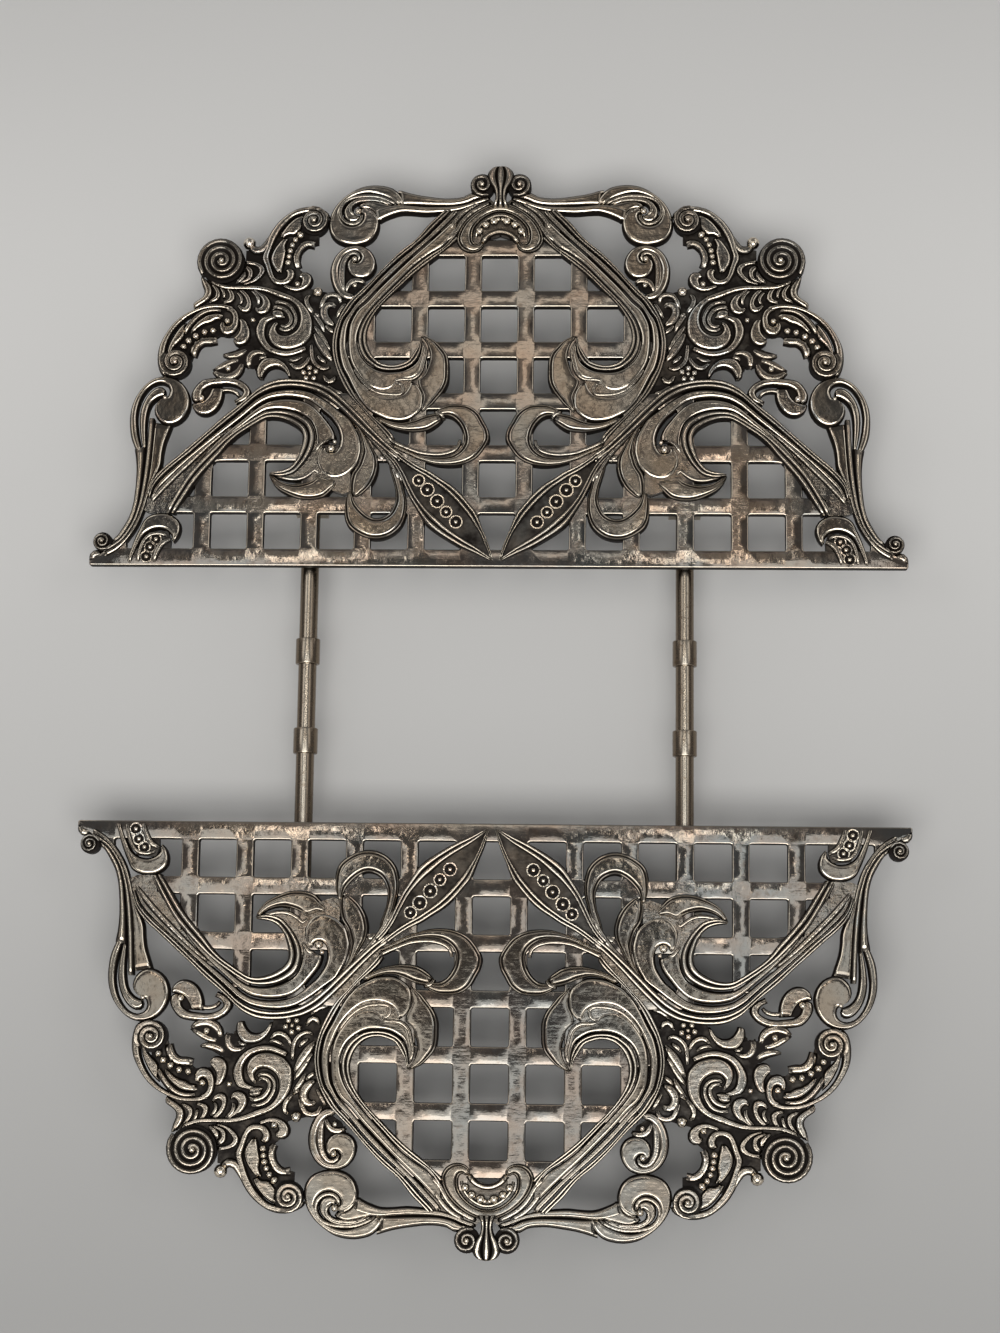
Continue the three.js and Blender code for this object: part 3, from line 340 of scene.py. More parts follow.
LEAVES = [
    # lobed leaf
    (RIM_LEAF, LEAF_TOP,
     [(20.7, 63.3), (18.9, 62.6), (16.9, 61.5), (15.2, 60), (13.8, 58.2), (13.2, 56.2), (13.06, 53.35),
      (13.2, 50.5), (14.1, 48.2), (15.5, 46.2), (17.2, 44.2), (18.9, 42.9), (20.4, 41.6)],
     [(20.6, 62.6), (19.2, 60.8), (18.6, 58.8), (18.5, 56.5), (19.1, 54.2), (20, 52.2), (21.6, 50.6),
      (21.2, 48.8), (20.3, 47), (20, 45), (20.6, 42.6)]),
    # middle crescent
    (LEAF, LEAF_TOP,
     [(17, 41.6), (15.2, 43.1), (12.6, 44.2), (9.5, 44.2), (7.2, 43.6), (5, 41.9), (3.5, 39.3), (2.4, 37.2),
      (2, 34.8), (2.7, 33), (3.75, 31.3), (5.35, 29.4), (7.5, 28.1), (9.9, 27.3), (12.9, 27.1), (16.1, 27.4),
      (18.75, 28.2), (21.4, 29.1), (24.1, 30.4), (27.4, 32)],
     [(16.4, 40.6), (14.5, 40.9), (12.3, 40.4), (10.7, 39.05), (9.6, 37.2), (9.1, 35.3), (9.2, 33.4),
      (10.2, 31.8), (12.05, 30.5), (15, 29.7), (18.75, 29.7), (21.4, 30.4), (24.1, 31.6), (28.9, 33.6)]),
    # middle leaf
    (LEAF, LEAF_TOP,
     [(14.6, 39.8), (16.1, 38.25), (18.2, 36.9), (20.4, 36.3), (23, 36.3), (25.7, 36.8), (28.4, 37.6),
      (30.5, 38.6), (33.4, 40.2)],
     [(15.3, 41.4), (17.1, 41.7), (19.5, 41.2), (22, 40.1), (24.6, 39.1), (26.8, 39), (29.5, 39.6),
      (32.1, 40.9)]),
    # edge crescent
    (LEAF, LEAF_TOP,
     [(32.6, 35.4), (29.9, 32), (27.5, 29), (26, 26), (25, 23.2), (24.4, 20.6), (23.7, 17.9), (23.6, 15.2),
      (24.1, 12.8), (24.9, 10.9), (26.25, 9.3), (28.1, 8), (30.5, 7.2), (33.2, 7.2), (35.6, 8), (37.8, 9.3),
      (39.4, 10.9), (40.2, 13.1), (40.3, 15.75), (39.9, 18.2), (39.1, 20.8)],
     [(33.8, 34.6), (31.1, 31.8), (29.7, 29.9), (28.9, 28.1), (28.4, 25.9), (27.6, 23.25), (27.05, 21.4),
      (26.8, 19.2), (27.1, 17.1), (28.1, 14.9), (29.7, 13.6), (31.9, 13.1), (34, 13.9), (35.9, 15.5),
      (37.5, 17.6), (38.7, 20.4)]),
    # narrow leaf
    (LEAF, LEAF_TOP,
     [(37.6, 40), (36.5, 37.7), (34.5, 34.5), (33, 32), (31.9, 30.2), (31.4, 27.5), (31.8, 24.9), (32.7, 22.7),
      (34.05, 20.8), (35.9, 19.2), (37.6, 18.5)],
     [(39.4, 41), (38.6, 39), (37, 36.6), (36.2, 34), (36.1, 31.3), (36.5, 29.4), (37.2, 27.3), (38.5, 25.3),
      (39, 23.5), (39.2, 21.4), (38.6, 19.6)]),
    # half moon
    (LEAF, LEAF_TOP,
     [(42.3, 22.8), (43.2, 21.1), (44.5, 19.5), (46.1, 18.3), (48.5, 17.7), (51.2, 17.7), (53.6, 18.3),
      (55.8, 19.4), (57.9, 20.7), (59.5, 22.5), (60.6, 24.7)],
     [(42.5, 23.4), (44.2, 23.5), (46.1, 24), (47.7, 24.6), (48.8, 23.6), (50.9, 22.7), (53.6, 22.2),
      (55.8, 22.4), (57.9, 23.2), (60, 24.9)]),
    # side arm
    (BAND, LEAF_TOP,
     [(86.8, 38.2), (87.5, 36.1), (88.5, 33.1), (89, 30.1), (89.2, 27.5), (90, 25), (91, 22.6), (92.3, 19.6),
      (93.4, 15.4), (94.9, 11.2), (97.2, 7.4), (100, 4.2), (103.6, 2)],
     [(91.9, 39), (92.3, 33), (92.7, 27), (93.4, 21), (94.4, 16), (96, 11.4), (98.6, 7.4), (101, 5.3),
      (103.8, 3.8)]),
    # side arm edge
    (ONE_REED, REED_TOP,
     [(93.6, 32), (94, 26), (94.5, 21), (95.1, 16), (96.5, 11.4), (98.9, 7.6), (101.4, 5.6)],
     [(96.6, 31.6), (96.1, 29.1), (95.8, 26.1), (95.8, 22.8), (96, 19.5), (96.4, 16.2), (97.2, 13.2),
      (98.5, 10.6), (100.1, 8), (101.6, 6.7)]),
    # side arm ridge
    (ONE_REED, REED_TOP,
     [(91.6, 40), (91.9, 33), (92.3, 27), (93, 21), (94, 16), (95.6, 11.4), (98.2, 7.2), (101, 4.8),
      (103.6, 3.4)],
     [(92.9, 40), (93.2, 33), (93.6, 27), (94.2, 21), (95, 16), (96.4, 11.6), (98.9, 7.7), (101.4, 5.6),
      (103.8, 4.2)]),
    # side hook
    (BAND, LEAF_TOP + 0.2,
     [(96, 30.6), (97.5, 34.1), (98.1, 37), (98.2, 41), (97.4, 44.6), (95.8, 47.6), (93.4, 50.2), (90.6, 51.6),
      (87.6, 51.6), (84.9, 50.2), (82.9, 47.6), (82.1, 44.4), (82.8, 41.4), (84.6, 39.2), (87, 38.1),
      (89.4, 38.6), (91.2, 40.3), (91.8, 42.4), (91.2, 44.2), (89.8, 45.2), (88.6, 45.2)],
     [(94.6, 31.2), (95.4, 34), (96, 37), (96.3, 40.6), (95.8, 44), (94.6, 46.8), (92.8, 48.9), (90.6, 49.7),
      (88.7, 49.2), (87.9, 47.7), (88.2, 46.2)]),
    # side hook ribbon
    (BAND, LEAF_TOP,
     [(94.3, 31.4), (95, 34), (95.5, 37), (95.7, 40.6), (95.1, 43.8), (93.9, 46.3), (92.2, 48.2), (90.4, 48.9),
      (89.2, 48.3), (88.9, 47.2)],
     [(93.6, 31.6), (93.7, 35), (93.7, 38.5), (93.4, 41.5), (92.7, 43.7), (91.5, 45.1), (90.2, 45.8),
      (89.3, 46)]),
    # corner fan
    (BAND, LEAF_TOP,
     [(85.4, 6.2), (84.2, 7.6), (83.5, 9.9), (84.1, 12.1), (86.2, 13.8), (88.5, 14.3), (91.2, 13.9),
      (93.2, 12.7), (94.5, 10.2), (95.8, 6.9), (96.8, 3.6), (97.6, 0.7)],
     [(85.9, 6.9), (86.1, 8.1), (87.2, 9.2), (89.2, 9.8), (91.5, 9.3), (93.3, 7.9), (94.6, 5.6), (95.9, 2.6),
      (96.4, 0.7)]),
    # top arm upper
    (BAND, LEAF_TOP,
     [(5.6, 102.6), (8, 103.2), (10.2, 102.1), (12.9, 101.7), (15.5, 101.7), (18.75, 102.1), (22, 102.6),
      (24.6, 103.2), (27.8, 104.2)],
     [(4.6, 101.5), (6.2, 101.3), (8.8, 100), (12.1, 99.3), (16.1, 99.2), (20.1, 99.3), (24.1, 99.5),
      (27, 99.4)]),
    # top arm lower
    (BAND, LEAF_TOP,
     [(2.9, 101.9), (5, 101.6), (8.8, 100), (12.1, 99.4), (16.1, 99.3), (20.1, 99.4), (24.1, 99.7), (27.4, 100),
      (30.6, 99.6), (34.4, 98.4)],
     [(2.7, 101.1), (4.8, 100.3), (8, 99.2), (10.7, 98.2), (13.4, 97.6), (16.1, 97.3), (20.1, 97), (24.1, 97.3),
      (26.8, 97.3), (29.5, 96.5), (32.1, 95.3), (33.8, 94.6)]),
    # top hook
    (BAND, LEAF_TOP + 0.2,
     [(25.6, 99.6), (26.6, 102), (29, 104.3), (32, 105.2), (35, 105.3), (38, 104.6), (41, 102.8), (43.8, 100.3),
      (45.6, 97.5), (46.4, 94.5), (46, 91.8), (44.5, 89.7), (42, 88.5), (39, 88.1), (36, 88.8), (33.9, 90.4),
      (32.8, 92.6), (32.6, 95), (33.6, 97), (35.5, 98.3), (37.2, 98.4), (38.2, 97.9)],
     [(28, 99.6), (30, 101), (33, 102.2), (36, 102.7), (39, 102.2), (41.5, 100.8), (43, 98.6), (43.1, 96.2),
      (42, 94.5), (40.1, 93.8), (38.3, 94.3), (37.2, 95.6), (37.2, 96.8), (37.8, 97.5)]),
    # hook ribbon
    (BAND, LEAF_TOP,
     [(29, 99.9), (31.5, 101.2), (34.5, 102), (37.8, 101.9), (40.6, 100.6), (42.3, 98.6), (42.4, 96.4),
      (41.2, 94.9), (39.4, 94.6), (38.1, 95.4), (37.8, 96.6)],
     [(30.5, 99.4), (32.8, 100.4), (35.2, 100.8), (37.5, 100.6), (39.3, 99.7), (39.9, 98.4), (39.6, 97.4),
      (38.9, 97)]),
    # arm end
    (BAND, LEAF_TOP - 0.1,
     [(24, 99.3), (28, 99.7), (31, 100.3), (34, 101), (36.5, 101), (38.6, 99.6)],
     [(24, 97.4), (28, 97.2), (31, 96), (32.6, 95), (33.8, 97.2), (35.8, 98.4), (37.8, 98.4)]),
    # top pod
    (BAND, LEAF_TOP + 0.1,
     [(38, 73.8), (40.2, 72.7), (42.8, 73.8), (44.7, 76.4), (45.6, 79.6), (45.4, 82.8), (44, 85.8),
      (41.6, 87.8), (38.6, 88.4), (35.8, 87.6), (34, 85.6), (33.2, 83.2), (33.6, 81), (35.2, 79.3),
      (37.4, 78.8), (39.6, 79.5), (41, 81.2), (41.2, 83), (40.4, 84.4), (39.3, 84.8)],
     [(39.6, 74.8), (41.4, 75.8), (42.5, 77.6), (43, 79.8), (43, 82), (42.2, 84.4), (40.8, 86), (39, 86.5),
      (37.8, 85.7), (37.5, 84.6), (38.1, 83.8), (39, 83.8)]),
]

# Leaves across the middle line. Their edges are given for one side and run on over the other.
MIDDLE_LEAVES = [
    # cartouche
    (LEAF, LEAF_TOP + 0.2,
     [(0, 100.1), (1.6, 99.9), (4, 99.1), (6.7, 97.5), (9.4, 95.1), (11, 92.7), (11.8, 90), (11.5, 88.4),
      (10.2, 86.8), (8, 86), (5.9, 86.4), (4.6, 87.6), (4.3, 88.9)],
     [(0, 97.4), (1.4, 97.3), (3.6, 96.4), (5.6, 94.8), (6.9, 92.8), (7.3, 90.8), (7.1, 89.4), (6.4, 88.8),
      (5.6, 89.2)]),
    # cartouche inner rim
    (ONE_REED, LEAF_TOP + 0.1,
     [(0, 97), (1.4, 96.9), (3.4, 96), (5.3, 94.4), (6.6, 92.4), (7, 90.6)],
     [(0, 96.1), (1.2, 96), (3, 95.2), (4.7, 93.7), (5.8, 92), (6.1, 90.4)]),
    # cartouche sill
    (ONE_REED, LEAF_TOP + 0.2,
     [(0, 92.7), (1.8, 92.4), (3.9, 91.3), (5.5, 89.5)],
     [(0, 91.3), (1.4, 91.1), (2.9, 90.2), (4.1, 88.6)]),
]

SHELLS = [
    # shell rim
    (BAND, LEAF_TOP,
     [(46, 96.4), (46.6, 97.6), (47.9, 98.4), (49.7, 99.1), (51.8, 99.3), (53.9, 99), (55.9, 98.2), (58, 96.8),
      (59.8, 95.2), (61.2, 93.4), (62.4, 91.3), (63, 89.3), (63.2, 87.4), (64, 85.6), (64.2, 84.2),
      (63.3, 82.4), (62.8, 80.7), (62.1, 79.1), (60.8, 77.5), (58.9, 77), (56.9, 77.3), (55.5, 78.5),
      (54.9, 80.1), (55.5, 81.6), (56.8, 82.1)],
     [(47.6, 95.6), (49.4, 97.2), (50.7, 97.6), (52, 97.4), (54.1, 97), (55.9, 96.2), (57.5, 94.6),
      (58.9, 92.9), (59.8, 91.3), (60.8, 89.2), (61.6, 87.2), (62.1, 85.2), (61.8, 83.3), (61.2, 81.4),
      (60.6, 79.6), (59.4, 78.8), (58.1, 78.8), (57.5, 79.5), (57.5, 80.5), (57.9, 81.3)]),
    # shell body
    (BAND, LEAF_TOP,
     [(52.8, 97.2), (55, 96.4), (56.8, 95), (58.3, 93.2), (59.6, 90.9)],
     [(53.4, 93.6), (54.2, 92.2), (55.4, 91), (57, 91), (58.3, 90.3)]),
    # shell inner lobe
    (BAND, LEAF_TOP,
     [(57, 90.2), (57.7, 88.1), (57.4, 86.3), (57.8, 84), (58.1, 82.4), (58.7, 80.6)],
     [(58.3, 90.4), (59.8, 89), (61.1, 87.2), (61.9, 85.1), (61.8, 83.3), (60.9, 81.7), (59.7, 80.5)]),
    # spiral leaf
    (BAND, LEAF_TOP,
     [(78, 78.6), (74, 77.3), (68.8, 76.9), (66.2, 77.1), (62.9, 76.7), (59.7, 75.8), (56.6, 74.7), (54, 73.2),
      (52.1, 71.5), (50.6, 69.3), (49.9, 67.2), (49.8, 65), (50.1, 62.8), (51, 61.5), (52.3, 60.2), (54, 59.4),
      (56.2, 58.9), (58.4, 59.1), (60.3, 60), (61.6, 61.5), (62.1, 63.3), (61.6, 64.8), (60.8, 66.1),
      (59.6, 67.3)],
     [(78, 77.8), (74, 76), (68, 75.8), (64, 75.4), (61, 74.4), (58.8, 73.4), (56.2, 72.6), (54.7, 71.1),
      (53.8, 69.1), (53.6, 67.2), (54, 65.4), (55.1, 64.1), (56.6, 63.4), (58.2, 63.4), (59.3, 64.2),
      (59.6, 65.4), (59, 66.4)]),
    # spiral front lobe
    (BAND, LEAF_TOP,
     [(60.2, 68.9), (62.5, 68.4), (64, 68), (65.1, 66.3), (65.5, 64.1), (64.9, 62), (63.6, 60), (61.85, 58.5),
      (59.7, 57.6), (57.5, 57.1), (55.3, 57.3), (53.2, 58), (51.2, 59)],
     [(59.6, 67.8), (61, 67.2), (62.1, 66.1), (62.5, 64.1), (62.2, 62.2), (60.8, 60.2), (58.6, 59.2),
      (56.2, 59), (54, 59.5), (51.8, 60.4)]),
    # spiral heart
    (BAND, SMALL_TOP,
     [(57.4, 67.9), (58.8, 67.6), (60.2, 67.9), (61.2, 68.9)],
     [(57.9, 69.6), (59, 70.4), (60.2, 70.4), (61.1, 69.8)]),
    # hanging leaf 1
    (BAND, SMALL_TOP,
     [(65.9, 76.2), (64, 74.8), (62.7, 74.4), (61.5, 72.9), (61.1, 71.5), (61.7, 69.7), (63.1, 68.8),
      (64.4, 68.8), (65.4, 69.7), (65.9, 70.6)],
     [(66.6, 76), (64.9, 74.4), (64.1, 72.9), (64, 71.7), (64.8, 71), (65.7, 71.2)]),
    # hanging leaf 2
    (BAND, SMALL_TOP,
     [(69, 76), (67.4, 74.4), (66.6, 72.7), (66.4, 71.1), (67, 69.7), (68, 69.3), (69.3, 69.7), (70.3, 70.9),
      (70.7, 71.7)],
     [(70.6, 75.8), (69, 74.2), (68.1, 72.5), (68.3, 71.4), (69.2, 71.3), (70.2, 71.9)]),
    # hanging leaf 3
    (BAND, SMALL_TOP,
     [(72.4, 76.4), (71.1, 74.4), (71.1, 72.9), (72.3, 72.1), (74.4, 71.8)],
     [(73.7, 76.4), (72.8, 74), (73.3, 73), (74.6, 72.6)]),
    # hanging leaf 4
    (BAND, SMALL_TOP,
     [(76.6, 77.4), (75.2, 75.4), (75, 74), (75.8, 72.8), (78, 72)],
     [(77.9, 77.6), (76.6, 75.4), (76.6, 74), (77.6, 73.1), (78.4, 72.6)]),
    # hanging leaf 5
    (BAND, LEAF_TOP,
     [(79.2, 79), (77.4, 76.6), (77.2, 74.4), (78.2, 72.9), (80.5, 71.3), (82, 70.4)],
     [(80.6, 79.6), (80.1, 77.2), (79.5, 75.6), (79.7, 74.2), (80.9, 73.1), (82.1, 72.3), (82.4, 71.3)]),
    # comma leaf
    (BAND, SMALL_TOP,
     [(58.4, 76.6), (55, 75.3), (52.2, 75.9), (50.5, 77.6), (50.4, 79.6), (51.8, 80.9), (53.4, 80.6),
      (54.2, 79.2)],
     [(58, 77.4), (55.6, 76.8), (54, 77.2), (53.4, 78.2), (53.7, 79)]),
    # small shell leaf a
    (BAND, SMALL_TOP,
     [(69, 84.2), (66.6, 83.8), (64.8, 83.3), (63.6, 82.5), (63, 81.3), (63.6, 79.9), (64.8, 78.7),
      (66.2, 77.8), (69, 77)],
     [(68.8, 82.9), (66.8, 82.7), (65.4, 82.1), (64.9, 80.9), (65.6, 79.6), (67, 78.3), (69.4, 77.5)]),
    # small shell leaf b
    (BAND, SMALL_TOP,
     [(68.6, 82.8), (66.8, 82), (66.3, 80.4), (67, 78.6), (70, 77.4)],
     [(69.2, 82), (68.2, 81), (67.8, 80), (68.4, 78.9), (70.4, 78)]),
    # outer shell rim
    (BAND, LEAF_TOP,
     [(71, 70.9), (73.4, 71.7), (75.5, 71.8), (77.9, 71.7), (80, 71.2), (82, 70.3), (84, 69.3), (86.1, 67.8),
      (87.7, 66.2), (89.1, 64.2), (90.4, 61.9), (91.2, 59.7), (91.5, 57.2), (91.3, 54.8), (90.6, 52.7),
      (89.4, 51.5)],
     [(71.6, 69.5), (73.6, 70.4), (75.5, 70.7), (78.2, 70.5), (80.6, 69.8), (82.8, 68.7), (84.8, 67.2),
      (86.7, 65.2), (88.1, 62.9), (89, 60.4), (89.3, 57.6), (89, 55), (88.2, 53.4)]),
    # outer shell upper body
    (BAND, LEAF_TOP,
     [(74.2, 69.2), (76.5, 69.4), (78.8, 68.8), (80.6, 67.4), (82, 65.7), (83, 64)],
     [(74.6, 67.3), (76, 67.2), (77.4, 66.3), (79, 65.9), (80.6, 65), (82.2, 63.6)]),
    # outer shell lower body
    (BAND, LEAF_TOP,
     [(84.2, 67), (85.8, 65.4), (87.2, 63.4), (88.3, 61), (88.8, 58.6), (88.6, 56.6)],
     [(84.7, 64), (84.4, 62.6), (85.3, 61.3), (86.3, 60.5), (87.4, 59.4), (88, 58)]),
    # outer shell curl
    (BAND, LEAF_TOP,
     [(72.4, 71.4), (70.6, 70.2), (69.8, 68.4), (69.7, 66.2), (70.5, 64.2), (72.2, 63), (74, 63.2),
      (75.1, 64.6), (75, 66.2), (74.2, 67.1)],
     [(73.6, 70), (72.4, 69.5), (71.8, 68.3), (71.8, 66.9), (72.5, 66), (73.4, 66.2), (73.6, 66.9)]),
    # upright leaf
    (BAND, SMALL_TOP,
     [(69.2, 67.9), (67.7, 67), (66.9, 65.4), (66.5, 63.3), (66.9, 61.7), (68.1, 60.5), (69.6, 60.1),
      (70.8, 60.7), (71.3, 61.7)],
     [(69.8, 67.6), (69.8, 66.2), (69.8, 64.6), (70.3, 63.6), (71, 62.7)]),
    # scroll leaf
    (BAND, LEAF_TOP,
     [(69.8, 43.8), (67.7, 44.8), (66.3, 45.9), (65.9, 47.4), (66.7, 48.9), (67.9, 50.1), (69.8, 51.1),
      (72.2, 51.5), (74.7, 51.5), (77.1, 51.3), (79.3, 50.7), (80.8, 49.3), (81.8, 47.6), (82.1, 46.2),
      (81.6, 44.8), (80.2, 44.4)],
     [(70.6, 45.2), (69.2, 45.8), (68.5, 46.6), (68.3, 47.6), (69.1, 48.4), (70.6, 49.1), (72.6, 49.4),
      (74.7, 49.2), (76.8, 48.9), (78.4, 48), (78.9, 46.8), (79, 45.6)]),
    # scroll cup
    (BAND, LEAF_TOP - 0.1,
     [(73.4, 48.8), (73.3, 46.6), (73.9, 44.3), (75.2, 42.3), (77.2, 41), (79.4, 41), (81.1, 42.2),
      (81.8, 43.8)],
     [(76.7, 48.6), (77.2, 47.2), (77.8, 46.1), (78.6, 45.3), (79.6, 44.8), (80.6, 44.5), (81.6, 44.4)]),
    # small moon
    (BAND, SMALL_TOP,
     [(55.4, 51.4), (55.9, 53.5), (57.1, 55.4), (58.8, 56.8), (61, 57.2), (62.9, 56.8), (64.2, 55.4),
      (64.9, 53.7), (64.7, 52), (63.9, 51.2)],
     [(56, 51.4), (57.1, 53.2), (58.6, 54.1), (60.3, 54.2), (61.6, 53.5), (62.5, 52.2), (62.9, 51.2)]),
]

